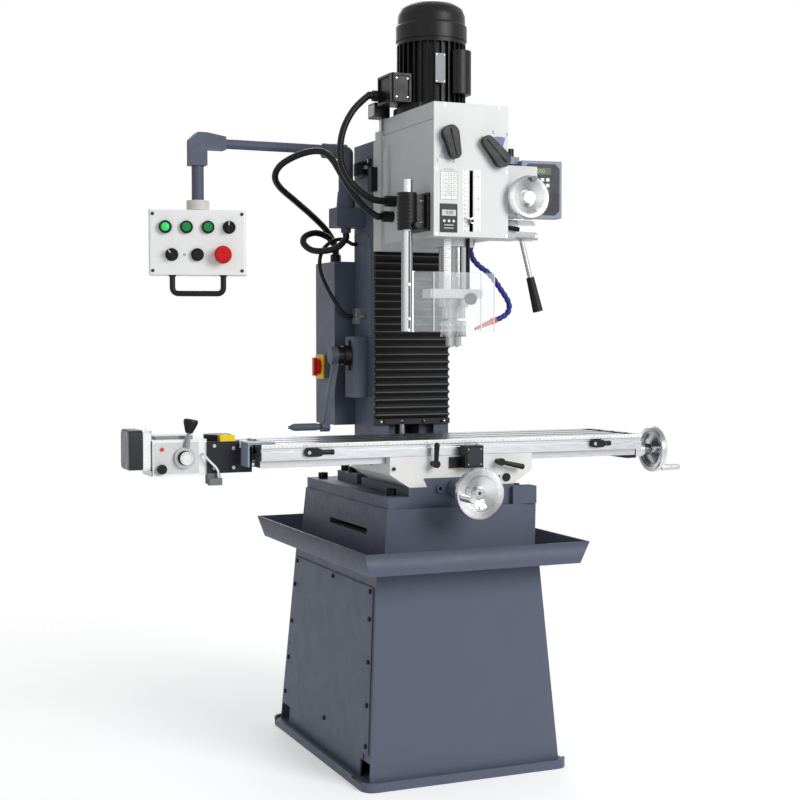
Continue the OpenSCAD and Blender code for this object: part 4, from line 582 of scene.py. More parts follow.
def make_stage():
    """A pale floor that fades into the white background, and soft studio light."""
    bpy.context.scene.view_settings.view_transform = "Standard"
    mesh = bpy.data.meshes.new("floor")
    r = FLOOR_HALF
    mesh.from_pydata([(-r, -r, 0), (r, -r, 0), (r, r, 0), (-r, r, 0)], [], [(0, 1, 2, 3)])
    floor = link("floor", mesh)
    s = Shader("floor_paint")
    s.set(Base_Color=s.mix(s.noise(3), srgb(250, 250, 250), srgb(252, 252, 252)), Roughness=0.9)
    s.set(Specular_IOR_Level=0.1, Emission_Color=(1, 1, 1, 1), Emission_Strength=FLOOR_GLOW)
    away = s.node("ShaderNodeVectorMath", {0: s.place}, operation="LENGTH").outputs["Value"]
    s.set(Alpha=s.remap(away, 1.0, 0.0, 0.9, 2.4))
    mesh.materials.append(s.material)

    world = bpy.data.worlds.new("studio")
    bpy.context.scene.world = world
    world.use_nodes = True
    tree = world.node_tree
    tree.nodes.clear()
    out = tree.nodes.new("ShaderNodeOutputWorld")
    seen = tree.nodes.new("ShaderNodeBackground")
    lit = tree.nodes.new("ShaderNodeBackground")
    mix = tree.nodes.new("ShaderNodeMixShader")
    path = tree.nodes.new("ShaderNodeLightPath")
    for back, color, strength in ((seen, (1, 1, 1, 1), 1.0), (lit, (0.97, 0.985, 1, 1), WORLD_LIGHT)):
        back.inputs["Color"].default_value = color
        back.inputs["Strength"].default_value = strength
    first, second = tree.nodes.new("ShaderNodeMath"), tree.nodes.new("ShaderNodeMath")
    first.operation = second.operation = "MAXIMUM"
    rays = [path.outputs["Is %s Ray" % kind] for kind in ("Camera", "Glossy", "Transmission")]
    for source, socket in ((rays[0], first.inputs[0]), (rays[1], first.inputs[1]),
                           (first.outputs[0], second.inputs[0]), (rays[2], second.inputs[1]),
                           (second.outputs[0], mix.inputs["Fac"]),
                           (lit.outputs[0], mix.inputs[1]), (seen.outputs[0], mix.inputs[2]),
                           (mix.outputs[0], out.inputs["Surface"])):
        tree.links.new(source, socket)
    for name, place_at, size, power in LAMPS:
        light = bpy.data.lights.new(name, "AREA")
        light.shape = "DISK"
        light.size = size
        light.energy = power
        lamp = link(name, light)
        lamp.location = place_at
        lamp.rotation_euler = (LAMPS_AIM - Vector(place_at)).to_track_quat("-Z", "Y").to_euler()


def corners(x0, x1, z0, z1):
    """A rectangle's outline."""
    return [(x0, z0), (x1, z0), (x1, z1), (x0, z1)]


def rounded_outline(lo, hi, r, steps=6):
    """A rectangle with rounded corners, as points in its own plane."""
    out = []
    (x0, y0), (x1, y1) = lo, hi
    centres = ((x1 - r, y1 - r), (x0 + r, y1 - r), (x0 + r, y0 + r), (x1 - r, y0 + r))
    for (cx, cy), start in zip(centres, (0, 90, 180, 270)):
        for k in range(steps + 1):
            t = radians(start + 90 * k / steps)
            out.append((cx + r * cos(t), cy + r * sin(t)))
    return out


def pick(*tests):
    """A face rule: the number of the first test that holds, counted from 1, or 0 for none."""
    def rule(c, n):
        return next((i + 1 for i, test in enumerate(tests) if test(c, n)), 0)
    return rule


class Front:
    """A front face turned some degrees to the operator, that far before its upright axis."""

    def __init__(self, axis, turn, reach):
        t = radians(turn)
        self.axis, self.reach = Vector(axis), reach
        self.out = Vector((-sin(t), -cos(t), 0))
        self.side = Vector((cos(t), -sin(t), 0))

    def at(self, x, z, out=0.0):
        return self.axis + self.side * x + Z * z + self.out * (self.reach + out)

    def past(self, c):
        """How far a point stands out of the face."""
        return (c - self.axis).dot(self.out) - self.reach


pendant = Front((-538, 90, 1284), 17, 45)
readout = Front((312, 62, 0), 8, 34)

# Centre of the feed dial, the way its lever leans, and the quill feed lever's foot and way
FEED_DIAL = Vector((-658, -228.3, 781))
FEED_LEVER_LEAN = lean(10)
FEED_LEVER_BASE = Vector((206, -194, 1318))
FEED_LEVER_WAY = lean(165)

# Nodes with one material: it, and the width of the eased edges
PLAIN = {
    "stand_cabinet": (slate_paint, 2.0), "stand_side_panel": (slate_panel, 0.8),
    "frame_screws": (black_steel, 0.5), "chip_tray": (slate_paint, 1.2),
    "base_casting": (slate_casting, 2.5), "column": (slate_casting, 1.5),
    "z_leadscrew": (steel, 0),
    "cabinet_door": (slate_paint, 0.8),
    "main_switch_knob": (red_plastic, 1.0), "arm_bearing_block": (slate_casting, 1.5),
    "pendant_arm": (slate_casting, 1.5),
    "forward_button": (green_plastic, 0.8), "reverse_button": (green_plastic, 0.8),
    "coolant_button": (black_plastic, 0.8), "mode_selector": (black_plastic, 0.8),
    "light_selector": (black_plastic, 0.8), "emergency_stop": (red_plastic, 1.2),
    "table_lock_left": (black_plastic, 0.6),
    "table_lock_right": (black_plastic, 0.6), "cross_handwheel": (front_wheel_metal, 0.6),
    "table_handwheel": (right_wheel_metal, 0.6),
    "feed_button": (black_plastic, 0.5),
    "head_lid": (pale_casting, 2.0),
    "motor_body": (black_paint, 0.5), "motor_covers": (black_paint, 1.0), "motor_rotor": (steel, 0),
    "gear_shaft": (steel, 0.2), "spindle_gear": (steel, 0.2), "quill": (chrome, 0.3),
    "spindle": (chrome, 0.4), "drill_chuck": (chrome, 0.3),
    "quill_lock_lever": (black_steel, 0.4),
    "speed_lever_left": (black_plastic, 2.5), "speed_lever_right": (black_plastic, 2.5),
    "readout_arm": (black_paint, 0.8), "digital_readout": (slate_light, 1.5),
}
# Nodes whose faces are sorted among materials by centre c and normal n
SORTED = {
    "milling_table": ([machined, ground_top, black_steel, black_paint], 0.8, pick(
        lambda c, n: n.z > 0.9 and c.z > 810.4,
        # the insides of the T-slots take the black oxide: painted shade in the slots
        lambda c, n: c.z < 810 and -262 < c.y < -94 and abs(c.x) < 455 and c.z > 785 and abs(n.x) < 0.5,
        lambda c, n: c.z < 810 and 455 < c.x < 489 and c.z > 785 and -290 < c.y < -66)),
    "z_crank": ([slate_paint, black_paint, steel], 0.8, pick(
        lambda c, n: -194 < c.x < -165.4 and 20 < hypot(c.y - 72, c.z - 1007) < 23,
        lambda c, n: c.x > -165.2)),
    "feed_dial": ([black_plastic, white_plastic], 0.5, pick(lambda c, n: c.y < -246.5)),
    "z_crank_bracket": ([slate_casting, black_paint], 1.0, pick(lambda c, n: c.x < -145.02)),
    "limit_switches": ([black_plastic, steel, aluminium], 0.6, pick(
        lambda c, n: (c.x < -110 and c.y < 37.9 and c.z > 1400) or (c.y < 95.9 and c.z < 1200),
        lambda c, n: c.z < 1200)),
    "electrical_cabinet": ([slate_paint, grey_plastic, yellow_plastic, black_plastic, silver_plate], 1.0,
                           pick(
        lambda c, n: -172.05 < c.x < -160.02,
        lambda c, n: c.x < -172.02,
        lambda c, n: c.z > 1251.02 or (abs(c.x) < 120 and c.y > 149.1 and 860 < c.z < 1195),
        lambda c, n: abs(c.x) < 131 and 143.1 < c.y < 149.1 and 850 < c.z < 1225)),
    "pendant_box": ([pale_paint, beige_plastic, black_plastic, dark_paint], 1.0, pick(
        lambda c, n: c.z > 1363.05,
        lambda c, n: c.z < 1204.5 or (pendant.past(c) > 0.1 and c.x < -590 and abs(c.z - 1321) < 17),
        lambda c, n: pendant.past(c) > 0.1)),
    "saddle": ([light_casting, black_plastic, steel], 1.5, pick(
        lambda c, n: c.y < -298.02 and c.z < 796.65,
        lambda c, n: c.z > 796.5 and c.y < -298)),
    "table_fittings": ([black_paint, slate_light, black_plastic, white_plastic], 0.6, pick(
        lambda c, n: c.x < -465 and -293 < c.y < -237,
        lambda c, n: c.y < -299.2,
        lambda c, n: -299.1 < c.y < -297.9 and c.z > 801.4)),
    "feed_gearbox": ([pale_paint, dark_paint, red_lamp, silver_plate], 2.0, pick(
        lambda c, n: c.x < -751.1,
        lambda c, n: c.y < -224.05 and c.x < -700,
        lambda c, n: c.z > 822.05 and c.x > -730)),
    "feed_angle_drive": ([dark_casting, yellow_plastic, grey_plastic], 4.0, pick(
        lambda c, n: -578 < c.x < -542 and c.y < -211 and c.z > 816 or (c.y < -230.05 and c.z > 790),
        lambda c, n: c.z < 743.9 and c.x < -575)),
    "feed_lever": ([steel, black_plastic], 0.5, pick(lambda c, n: c.z > 836)),
    "head_slide": ([pale_casting, black_paint, black_plastic, steel], 1.2, pick(
        lambda c, n: 1546.05 < c.z < 1568.1 and c.x < -90,
        lambda c, n: c.z > 1597.9 or (c.x < -105.05 and 1419 < c.z < 1481),
        lambda c, n: 1568.1 < c.z < 1598)),
    "head_casting": ([pale_casting, black_plastic, black_paint], 1.5, pick(
        lambda c, n: (c.x < -96.55 and -140 < c.y < -85) or (c.z < 1286.4 and c.x > 40),
        # the walls of the slot for the depth scale take black paint: painted shade inside the slot
        lambda c, n: -7 < c.x < 7 and 1297 < c.z < 1443 and -341.4 < c.y < -330)),
    "head_panel": ([panel_paint, black_plastic, steel], 0.6, pick(
        # the first test also takes the walls of the slot in the plate, made black as painted shade inside the
        # slot
        lambda c, n: (c.y < -344.02 and -82 < c.x < -36 and c.z < 1363)
        or (-5.2 < c.x < 4.2 and 1298.5 < c.z < 1441.5 and c.y > -343.9),
        lambda c, n: c.y < -344.02)),
    "depth_stop": ([pale_casting, black_plastic, black_steel, white_plastic, chrome], 0.6, pick(
        lambda c, n: c.y < -312.02 and c.z < 1160,
        lambda c, n: 7 < c.x < 18 and 1166.05 < c.z < 1317 or c.z > 1332.5 and c.x > 0,
        lambda c, n: c.x < -31 and c.z > 1166.05,
        lambda c, n: c.z > 1166.05)),
    "quill_feed_lever": ([aluminium, black_plastic, steel], 0.6, pick(
        lambda c, n: (c - FEED_LEVER_BASE).dot(FEED_LEVER_WAY) > 118.5 and c.x > 200,
        lambda c, n: (c - FEED_LEVER_BASE).dot(FEED_LEVER_WAY) > 28 and c.x > 200)),
    "fine_feed_wheel": ([fine_wheel_metal, grey_plastic], 0.4, pick(
        lambda c, n: (c - Vector((146, c.y, 1425))).length < 8 and c.y < -371)),
    "guard_clamp": ([black_plastic, steel], 1.2, pick(lambda c, n: c.x < -104.6 and (
        min(abs(c.y + 240), abs(c.y + 310)) < 4.2 and min(abs(c.z - 1320), abs(c.z - 1370)) < 4.2))),
    # the sheet's top and bottom faces take the pale edge material: a painted highlight
    "chip_guard": ([clear_screen, post_metal, painted_edge_highlight], 0.3, pick(
        lambda c, n: c.x < -126.9, lambda c, n: abs(n.z) > 0.9)),
}


# Faces left out of a dressed copy, because a finer piece stands in their place
KEPT = {
    "feed_gearbox": lambda c: c.x > -732.1,
    "feed_lever": lambda c: (c - FEED_DIAL).dot(FEED_LEVER_LEAN) < 55.8,
    "pendant_box": lambda c: c.z > 1204.5,
    "table_fittings": lambda c: not (c.y < -299.2 or (c.z < 801.5 and c.y < -297.9 and abs(c.x) < 499)),
}


def dress_all():
    for node, (material, bevel) in PLAIN.items():
        dress(node, [material], bevel)
    for node, (materials, bevel, rule) in SORTED.items():
        dress(node, materials, bevel, rule, keep=KEPT.get(node))


BELLOWS_LOW, BELLOWS_FRAME, BELLOWS_TOP = 831, 14, 1269.7
BELLOWS_FOLDS = 22
# Half width and front of the folds at their valleys, shoulders and ridges
VALLEY, SHOULDER, RIDGE = (97.5, -0.6), (103.4, -5.0), (104, -5.5)


def make_bellows():
    """Rubber folds with a pale painted highlight along each ridge, and the screwed frame below them."""
    low = BELLOWS_LOW + BELLOWS_FRAME
    pitch = (BELLOWS_TOP - low) / BELLOWS_FOLDS
    folds = Piece("bellows_folds", rubber, ridge_highlight_rubber)
    levels = [(low, *VALLEY, 0)]
    for i in range(BELLOWS_FOLDS):
        z = low + pitch * i
        # the ridge level takes the paler rubber: a painted highlight along each ridge
        levels += [(z + 0.44 * pitch, *SHOULDER, 0), (z + 0.52 * pitch, *RIDGE, 1),
                   (z + 0.60 * pitch, *SHOULDER, 0), (z + pitch, *VALLEY, 0)]
    rings = [folds.add([(-half, 4.5, z), (-half, front, z), (half, front, z), (half, 4.5, z)], [])
             for z, half, front, _ in levels]
    for a, b, level, upper in zip(rings, rings[1:], levels, levels[1:]):
        folds.band(a, b, max(level[3], upper[3]))
    for ring in (rings[0], rings[-1]):
        folds.bm.faces.new(ring)
    made = folds.done("root", "bellows_rubber", angle=25, replaces=("way_bellows",))
    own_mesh(made)
    lower = Piece("bellows_frame", black_paint, steel)
    lower.box((-104, -5.5, BELLOWS_LOW), (104, 4.7, low))
    mid = BELLOWS_LOW + BELLOWS_FRAME // 2
    for x in (-88, -30, 30, 88):
        lower.rod((x, -5.3, mid), (x, -7.6, mid), 3.2, 1)
    lower.done("root", "bellows_rubber", 0.4)


# Heights of the pendant's two rows of controls, and its handle's half width, corner, drop and radius
TOP_ROW, LOW_ROW = 37, -30
HANDLE_X, HANDLE_CORNER, HANDLE_OUT, HANDLE_R = 62, 14, -20, 7


def make_pendant_details():
    """Bezels, lamp, handle, neck gasket, the selectors' marks and the lid's seam on the pendant."""
    bezels = Piece("pendant_bezels", black_plastic, steel, green_lamp)
    for x, z, inner, outer, height in (
            (-26, TOP_ROW, 11.6, 15.5, 8), (26, TOP_ROW, 11.6, 15.5, 8), (0, LOW_ROW, 11.6, 15.5, 8),
            (77, TOP_ROW, 13.2, 15.8, 2.5), (-62, LOW_ROW, 13.2, 15.8, 2.5), (62, LOW_ROW, 10.6, 21, 4),
            (-77, TOP_ROW, 10.5, 15.6, 10.5)):
        bezels.ring(inner, outer, height, pendant.at(x, z), pendant.out)
    bezels.lathe([(0, 0), (10.4, 0), (10.4, 2), (8.5, 4.6), (4.5, 6.2), (0, 6.7)],
                 pendant.at(-77, TOP_ROW, 8.6), pendant.out, 2, 40)
    bezels.rod(pendant.at(-31, LOW_ROW, -0.5), pendant.at(-31, LOW_ROW, 1.4), 3.6, 1)
    bezels.done("pendant", "black_plastic", 0.3)
    handle = Piece("pendant_handle", black_plastic)
    bend = [(HANDLE_X - HANDLE_CORNER + HANDLE_CORNER * cos(t), -110 - HANDLE_CORNER * sin(t))
            for t in (0, 0.4, 0.8, 1.2, pi / 2)]
    right = [(HANDLE_X, -78), (HANDLE_X, -100)] + bend + [(20, -124)]
    whole = [(-x, z) for x, z in right] + right[::-1]
    handle.sweep([pendant.at(x, z, HANDLE_OUT) for x, z in whole], HANDLE_R, sides=CORD_SIDES)
    for x in (-HANDLE_X, HANDLE_X):
        handle.rod(pendant.at(x, -78.8, HANDLE_OUT), pendant.at(x, -82.5, HANDLE_OUT), 9.5)
    handle.done("pendant", "black_plastic")
    gasket = Piece("pendant_gasket", rubber)
    gasket.ring(22.5, 29.2, 2.4, (pendant.axis.x, pendant.axis.y, 1362.6), Z)
    gasket.done("pendant", "black_plastic")
    for body, x, z, turn in (("mode_selector", 77, TOP_ROW, 0), ("light_selector", -62, LOW_ROW, -35)):
        mark = Piece(body + "_mark", white_plastic)
        up = Z * cos(radians(turn)) + pendant.side * sin(radians(turn))
        side = pendant.out.cross(up)
        mark.prism(corners(-1, 1, 4, 13), pendant.at(x, z, 19.9), -side, up, 0.4)
        mark.done(body, "black_plastic")
    seam = Piece("pendant_lid_seam", grey_plastic)
    for z in (-79.05, 78.75):
        seam.prism(corners(-117, 117, -8.6, -7.8), pendant.at(0, z), pendant.side, pendant.out, 0.3)
    seam.done("pendant", "black_plastic")


# The head's front plate, half the width of a printed line, and how far lines and figures stand out
FACE_Y, LINE = -344.0, 0.25
LINE_OUT, FIGURE_OUT = 0.6, 0.55
# The speed chart's columns, lower and upper end and height of a row, and the two scales' ends and zero
CHART_X, CHART_Z, CHART_ROW = (-80, -66, -51.5, -37), (1372, 1436), 9.2
SCALE_Z, SCALE_ZERO = (1298, 1443), 1300.5
SPEEDS = [("1", "95", "480"), ("2", "160", "820"), ("3", "270", "1400")]


def make_head_graphics():
    """The levers' sectors and numbers, the speed chart and the quill's centimetre and inch scales."""
    ink = Piece("panel_ink", ink_black, ink_pale, ink_blue, white_plastic)

    def flat(outline, m, thick=0.25):
        ink.prism(outline, (0, FACE_Y, 0), X, Z, thick, m)

    def line(x0, x1, z0, z1):
        flat(corners(x0, x1, z0, z1), 0, LINE_OUT)

    def figure(words, size, x, z):
        ink.text(words, size, (x, FACE_Y, z), lift=FIGURE_OUT)

    def sector(centre, r, a0, a1, m):
        turns = [radians(a0 + (a1 - a0) * k / 12) for k in range(13)]
        flat([centre] + [(centre[0] + r * sin(t), centre[1] + r * cos(t)) for t in turns], m)

    def scale(count, step, inner, way, every, long, size, first):
        """Ticks from x inner towards way, with every so manieth longer and numbered down from first."""
        for k in range(count):
            z = SCALE_ZERO + step * k
            tip = inner + way * (long if k % every == 0 else 3)
            line(min(inner, tip), max(inner, tip), z - LINE, z + LINE)
            if k % every == 0:
                figure(str(first - k // every), size, way * 17.5, z)

    sector((-61, 1522), 58, 204, 152, 1)
    sector((72, 1470), 54, 18, -26, 2)
    for word, x, z in (("1", -87, 1461), ("2", -46, 1461), ("1", 27, 1521), ("2", 56, 1533), ("3", 92, 1529)):
        ink.text(word, 11, (x, FACE_Y, z))
    for x0, x1, (z0, z1) in ((CHART_X[0], CHART_X[-1], CHART_Z), (-23, -5.6, SCALE_Z), (4.6, 24, SCALE_Z)):
        flat(corners(x0, x1, z0, z1), 3, 0.4)
    for k in range(8):
        z = CHART_Z[0] + CHART_ROW * k
        line(CHART_X[0], CHART_X[-1], z - LINE, z + LINE)
    for x in CHART_X:
        line(x - LINE, x + LINE, CHART_Z[0], CHART_Z[1] + 0.4)
    flat(corners(-72, -46, 1440.5, 1442.5), 1)
    for row in range(6):
        step, low, high = SPEEDS[row % 3]
        z = 1431.4 - CHART_ROW * row
        figure(step, 5.6, -73, z)
        figure(low if row < 3 else high, 5.2, -58.8, z)
        figure("50" if row < 3 else "60", 5.2, -44.3, z)
    scale(29, 5, -6, -1, 2, 5.5, 5.6, 14)
    scale(23, 6.35, 5, 1, 4, 6, 7, 5)
    ink.done("head", "panel_paint")


def make_depth_readout():
    """The small readout's display, buttons and marks."""
    dial = Piece("depth_readout_face", lcd_glass, ink_black, white_plastic, black_plastic)
    dial.prism(corners(-79, -39, 1332, 1350), (0, -346, 0), X, Z, 0.5, 3)
    dial.prism(corners(-77, -41, 1334, 1348), (0, -346.4, 0), X, Z, 0.3, 0)
    dial.text("0.00", 11, (-57, -346.7, 1341), m=1)
    for x in (-71, -59, -47):
        dial.lathe([(0, 0), (3.2, 0), (3.2, 0.9), (2.6, 1.3), (0, 1.3)], (x, -346, 1322), -Y, 2, 24)
    for z in (1312, 1305):
        dial.prism(corners(-71, -47, z, z + 1.4), (0, -346, 0), X, Z, 0.25, 2)
    dial.done("head", "panel_paint")


def make_lid_seam():
    """The dark joint line under the head's lid, on both sides."""
    seam = Piece("lid_seam", dark_paint)
    for x0, x1 in ((-96.75, -96.2), (96.2, 96.75)):
        seam.box((x0, -341.2, 1556.1), (x1, -43.3, 1557.1))
    seam.done("head", "head_paint")


def make_lever_ridges():
    """The raised grip along each speed lever."""
    levers = (("speed_left", (-61, 1522), 165, 44), ("speed_right", (72, 1470), -44, 53))
    for body, pivot, turn, reach in levers:
        way = lean(turn)
        side = way.cross(-Y)
        ridge = Piece(body + "_ridge", black_plastic)
        at = Vector((pivot[0], -365.9, pivot[1]))
        a, b = at - way * 12, at + way * (reach + 8) + Y * 1.6
        points = [a + side * 3, a - side * 3, b + side * 2, b - side * 2, a + way * 3 - Y * 2.6,
                  b - way * 3 - Y * 2.2]
        ridge.add(points, [(0, 2, 5, 4), (1, 4, 5, 3), (0, 4, 1), (2, 3, 5), (0, 1, 3, 2)])
        ridge.done(body, "black_plastic", 0.5)


# The readout's front plate across and upward, with the cut of its corners, and which keys are white
PLATE_X, PLATE_Z, PLATE_CUT = (29, 129), (1380, 1516), 12
WHITE_KEYS = ((2, 0), (3, 0), (3, 1))


def make_readout_details():
    """The display's plate with cut corners, its screen, keys and figures."""
    face = Piece("readout_face", dark_paint, lcd_dark, white_plastic, lcd_green, grey_plastic)

    def on_face(outline, out, thick, m):
        face.prism(outline, readout.at(0, 0, out), readout.side, Z, thick, m)

    (x0, x1), (z0, z1), c = PLATE_X, PLATE_Z, PLATE_CUT
    on_face([(x0 + c, z0), (x1 - c, z0), (x1, z0 + c), (x1, z1 - c), (x1 - c, z1), (x0 + c, z1), (x0, z1 - c),
             (x0, z0 + c)], 0, 1.4, 0)
    on_face(corners(35, 104, 1487, 1506), 1.3, 0.5, 1)
    for row in range(3):
        for column in range(4):
            x, z = 50 + 15 * column, 1474 - 15 * row
            key = 2 if (column, row) in WHITE_KEYS else 4
            on_face(corners(x - 5, x + 5, z - 4.5, z + 4.5), 1.3, 1.0, key)
    face.text("0.000", 15, readout.at(70, 1496.5, 1.8), readout.side, Z, 3)
    face.done("readout", "readout_plastic", 0.3)


def make_table_scale():
    """A tick each centimetre on the table's ruler, longer each fifth, with figures each tenth."""
    ruler = Piece("table_scale_marks", ink_black)
    for k in range(-49, 50):
        long = 4.5 if k % 5 == 0 else 2.8
        ruler.box((10 * k - 0.3, -299.2, 802.2), (10 * k + 0.3, -298.9, 802.2 + long))
    for k in range(-4, 5):
        ruler.text(str(abs(k) * 10), 4.4, (100 * k + 6, -299, 805.6))
    ruler.done("table", "machined_iron")


def make_column_screws():
    """Screws on the column's left side."""
    screws = Piece("column_screws", steel, black_steel)
    for y, z in ((105, 1474), (105, 1496), (27, 1499)):
        screws.rod((-110.8, y, z), (-114, y, z), 5, 0)
        screws.rod((-113.6, y, z), (-114.6, y, z), 2.6, 1, steps=6)
    screws.done("root", "black_plastic", 0)


def frame_bars(a, b, inner_a, inner_b):
    """Corners, across and upward, of the four bars of a raised frame on the terminal box."""
    low, high, bar = 1622, 1691, 6
    return [((a, low), (b, low + bar)), ((a, high - bar), (b, high)),
            ((a, low + bar), (inner_a, high - bar)), ((inner_b, low + bar), (b, high - bar))]


def make_motor_details():
    """The motor's blank plate, the terminal box's frames and screws, and the relay box's blank label."""
    motor = Piece("motor_details", grey_casting, steel, black_plastic)
    motor.box((-28, -203.4, 1667), (-2, -201.2, 1738))
    for z in (1671, 1734):
        for x in (-25, -5):
            motor.rod((x, -203, z), (x, -204.2, z), 1.5, 1)
    for lo, hi in frame_bars(-121, -74, -115, -80):
        motor.box((lo[0], -164, lo[1]), (hi[0], -159.6, hi[1]), 2)
    for lo, hi in frame_bars(-158, -76, -151, -83):
        motor.box((-127, lo[0], lo[1]), (-122.6, hi[0], hi[1]), 2)
    for z in (1634, 1679):
        for x in (-112, -83):
            motor.rod((x, -159.7, z), (x, -161.8, z), 2.4, 1)
    motor.done("head", "motor_paint", 0.8)
    label = Piece("relay_label", beige_plastic)
    label.box((-128.8, -57, 1602), (-127.8, -22, 1630))
    label.done("head", "black_plastic", 0.3)


def make_head_bracket():
    """The small bracket with its cap on the head's right side."""
    bracket = Piece("head_bracket", black_paint, grey_plastic)
    bracket.box((96.4, -92, 1452), (108, -74, 1532))
    bracket.lathe([(0, 0), (8, 0), (8, 10), (6, 13), (0, 13)], (103, -83, 1532), Z, 1, 32)
    bracket.done("head", "black_plastic", 0.8)


def make_guard_details():
    """The strip and screws on the guard's post, and the clamp's ridges and knob."""
    x, y, _ = GUARD_POST
    post = Piece("guard_post_details", dark_paint, steel)
    post.box((x - 2, -313.4, 1072), (x + 2, -312.4, 1300))
    for z in (1175, 1095):
        post.rod((x, -312.8, z), (x, -316, z), 4.2, 1)
    post.done("guard", "clear_screen", 0.2)
    ridges = Piece("guard_clamp_ridges", black_plastic)
    for k in range(9):
        ridges.ring(22.2, 24.2, 4, (x, y, 1305 + 9 * k), Z, ease=1)
    ridges.lathe([(0, 0), (7, 0), (8, 2), (8, 12), (6.5, 15), (0, 15)], (-133, -322, 1312), -Y, 0, 32)
    ridges.done("head", "black_plastic")


# The chuck's knurl: teeth round it, the radius they stand on, and their half width and height
KNURL_TEETH, KNURL_R, KNURL_HALF, KNURL_OUT = 56, 29.7, 1.1, 0.9


def make_chuck_knurl():
    """Two knurled bands round the chuck."""
    knurl = Piece("chuck_knurl", steel)
    for low, high in ((1062, 1071), (1079, 1088)):
        for k in range(KNURL_TEETH):
            t = 2 * pi * k / KNURL_TEETH
            out = Vector((cos(t), sin(t), 0))
            side = Vector((-sin(t), cos(t), 0))
            at = Vector(SPINDLE) + out * KNURL_R
            tooth = [at + side * KNURL_HALF, at - side * KNURL_HALF, at + out * KNURL_OUT]
            knurl.add([p + Z * z for z in (low, high) for p in tooth],
                      [(0, 1, 2), (3, 5, 4), (0, 2, 5, 3), (2, 1, 4, 5), (1, 0, 3, 4)])
    knurl.done("spindle", "bright_steel", angle=20)


def make_feed_marks():
    """Screws of the power feed, the dial's marks and the disc under its lever."""
    screws = Piece("feed_details", steel, black_plastic, ink_black)
    for y in (-206, -150):
        for z in (764, 836):
            screws.rod((-783, y, z), (-784.6, y, z), 4.2, 0)
            screws.rod((-784.2, y, z), (-784.9, y, z), 2.2, 1, steps=6)
    for x, z in ((-590, 756), (-545, 756), (-590, 806), (-545, 800)):
        screws.rod((x, -230.4, z), (x, -233, z), 4.5, 0)
    screws.done("table", "feed_steel", 0.2)
    marks = Piece("feed_dial_marks", ink_black)
    for k in range(11):
        t = radians(-135 + 27 * k)
        way = Vector((sin(t), 0, cos(t)))
        at = Vector((FEED_DIAL.x + 11.5 * sin(t), -246.6, FEED_DIAL.z + 11.5 * cos(t)))
        marks.prism(corners(-0.5, 0.5, -2.2, 2.2), at, way.cross(-Y), way, -0.3)
    marks.done("feed_dial", "white_plastic")
    disc = Piece("feed_lever_disc", black_plastic)
    disc.ring(14.9, 16.6, 1.2, (FEED_DIAL.x, -232.4, FEED_DIAL.z), -Y)
    disc.done("feed_lever", "feed_steel")


def make_limit_cover():
    """The cover and its screws on the cross slide's limit switch."""
    cover = Piece("limit_box_cover", dark_paint, steel)
    cover.prism(corners(-4, 35, 749, 791), (0, -331.8, 0), X, Z, 2, 0)
    for x, z in ((-1, 752), (32, 752), (-1, 788), (32, 788)):
        cover.rod((x, -333.5, z), (x, -334.6, z), 1.8, 1)
    cover.done("saddle", "black_plastic", 0.5)


def make_crank_hub():
    hub = Piece("crank_hub", slate_paint)
    hub.lathe([(0, 0), (22.5, 0), (22.5, 15.5), (21, 17), (9, 17.6), (0, 17.6)], (-181, 72, 1007), -X, 0)
    hub.done("z_crank", "frame_paint")


def make_feed_details():
    """The motor housing's rounded cap and flange, the label plate, the lever's knob and the plungers."""
    cap = Piece("feed_cap", pale_paint, dark_paint, grey_plastic)
    cap.prism(rounded_outline((-221, 753), (-135, 843), 12), (-751, 0, 0), Y, Z, 19, 0)
    cap.prism(rounded_outline((-221, 755), (-135, 845), 10), (-781, 0, 0), Y, Z, 30, 1)
    cap.prism(rounded_outline((-218, 758), (-138, 842), 9), (-783, 0, 0), Y, Z, 3, 2)
    cap.done("table", "feed_steel", 1.6, segments=3)
    plate = Piece("feed_label_plate", panel_paint, dark_paint)
    plate.prism(rounded_outline((-728, 745), (-624, 816), 3), (0, -223.8, 0), X, Z, 0.7, 0)
    plate.box((-732.6, -224.3, 742), (-730.6, -223.8, 820), 1)
    plate.done("table", "feed_steel", 0.2)
    knob = Piece("feed_lever_knob", black_plastic)
    knob.lathe([(0, 0), (7.4, 0), (8.4, 1.5), (12.4, 12), (15.9, 22), (16.6, 26), (16.2, 29), (14.2, 31.6),
                (9, 32.8), (0, 33)], FEED_DIAL + FEED_LEVER_LEAN * 56, FEED_LEVER_LEAN, steps=48)
    knob.done("feed_lever", "feed_steel")
    collar = Piece("feed_lever_sleeve", grey_casting)
    collar.lathe([(0, 0), (7, 0), (5, 30), (4.3, 33), (0, 33)], FEED_DIAL + FEED_LEVER_LEAN * 22,
                 FEED_LEVER_LEAN, steps=32)
    collar.done("feed_lever", "feed_steel", 0.4)
    plungers = Piece("feed_plungers", yellow_plastic)
    for x in (-569, -551):
        plungers.lathe([(0, 0), (4, 0), (4, 2.2), (2.8, 3.4), (0, 3.4)], (x, -223, 829.8), Z, steps=24)
    plungers.done("table", "feed_steel")


def make_table_stops():
    """Travel stops clamped in the groove on the table's front edge."""
    stops = Piece("table_stops", black_plastic, steel)
    for lo, hi, rod_x, tip in ((-399, -357, -331, -329), (350, 388, 401, 405)):
        stops.prism(rounded_outline((lo, 780.6), (hi, 799), 8.5, 8), (0, -298.2, 0), X, Z, 11.6, 0)
        stops.rod((hi - 4, -304, 790), (rod_x, -304, 790), 5.4, 0)
        stops.rod((rod_x - 5, -304, 790), (tip, -304, 790), 6.4, 0)
        stops.rod((lo + 9, -309.6, 790), (lo + 9, -311, 790), 4.4, 1)
        stops.box((lo + 6, -298.4, 793), (hi - 6, -295.5, 800), 0)
    stops.done("table", "black_casting", 0.7, segments=3)


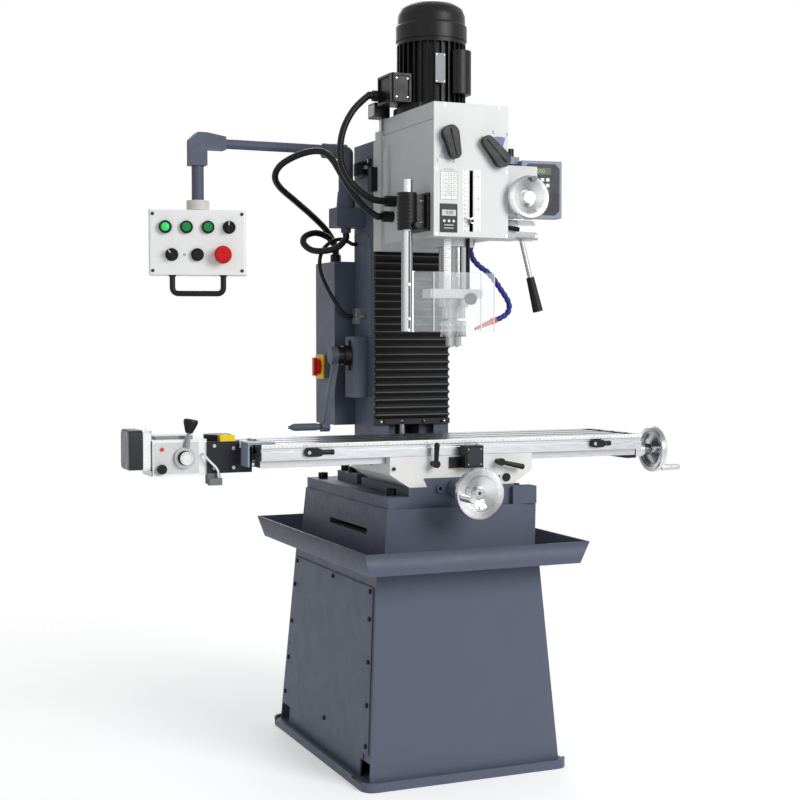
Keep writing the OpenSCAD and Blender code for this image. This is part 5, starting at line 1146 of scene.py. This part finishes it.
def make_wheel_screws():
    """A washer and a dark socket screw at the middle of both handwheels."""
    front = [(FRONT_WHEEL[0], y, FRONT_WHEEL[2]) for y in (-430.2, -430.4, -430.9)]
    right = [(x, RIGHT_WHEEL[1], RIGHT_WHEEL[2]) for x in (609.8, 610, 610.5)]
    for name, body, out, (washer, low, high) in (("wheel_screws", "cross_wheel", -Y, front),
                                                 ("wheel_hub_screw", "table_wheel", X, right)):
        hub = Piece(name, steel, ink_black)
        hub.ring(3.6, 12.6, 2.4, washer, out)
        hub.rod(low, high, 3.8, 1, ease=0)
        hub.done(body, "wheel_aluminium")


def make_guard_edges():
    """Pale rods on the clear screen's upright edges: a painted highlight where the polished edges catch the
    light.
    """
    edges = Piece("screen_edge_highlights", painted_edge_highlight)
    for x, y in ((-88, -326), (35, -326), (88, -290)):
        edges.rod((x, y - 0.2, 1066.4), (x, y - 0.2, 1204.6), 1.3, 0, ease=0.3, steps=12)
    edges.done("guard", "clear_screen")


def make_quill_scale():
    """Ticks and figures on the bar beside the quill."""
    marks = Piece("quill_scale_marks", ink_black)
    for k in range(32):
        z = 1170 + 5 * k
        long = 9 if k % 2 == 0 else 5
        marks.box((-49, -302.25, z - 0.3), (-49 + long, -301.95, z + 0.3))
    for k in range(8):
        marks.text(str(k + 1), 6, (-36.5, -302, 1180 + 20 * k))
    marks.done("quill", slot_of["depth_stop"])


def make_column_arch():
    """The raised line of the arch cast on the column's left side."""
    arch = Piece("column_arch", slate_casting)
    side = ((16, 905), (16, 1100), (16, 1240), (17, 1275), (24, 1298), (38, 1313), (60, 1322), (88, 1325),
            (118, 1322), (136, 1314))
    route = [(-105.2, y, z) for y, z in side]
    arch.sweep(smooth_route(route, 6), 1.8, sides=10)
    arch.done("root", "frame_paint")


make_camera()
make_stage()
make_cords()
make_coolant_hose()
dress_all()
make_feed_details()
make_table_stops()
make_wheel_screws()
make_guard_edges()
make_quill_scale()
make_column_arch()
make_bellows()
make_pendant_details()
make_head_graphics()
make_depth_readout()
make_lid_seam()
make_lever_ridges()
make_readout_details()
make_table_scale()
make_column_screws()
make_motor_details()
make_head_bracket()
make_guard_details()
make_chuck_knurl()
make_feed_marks()
make_limit_cover()
make_crank_hub()
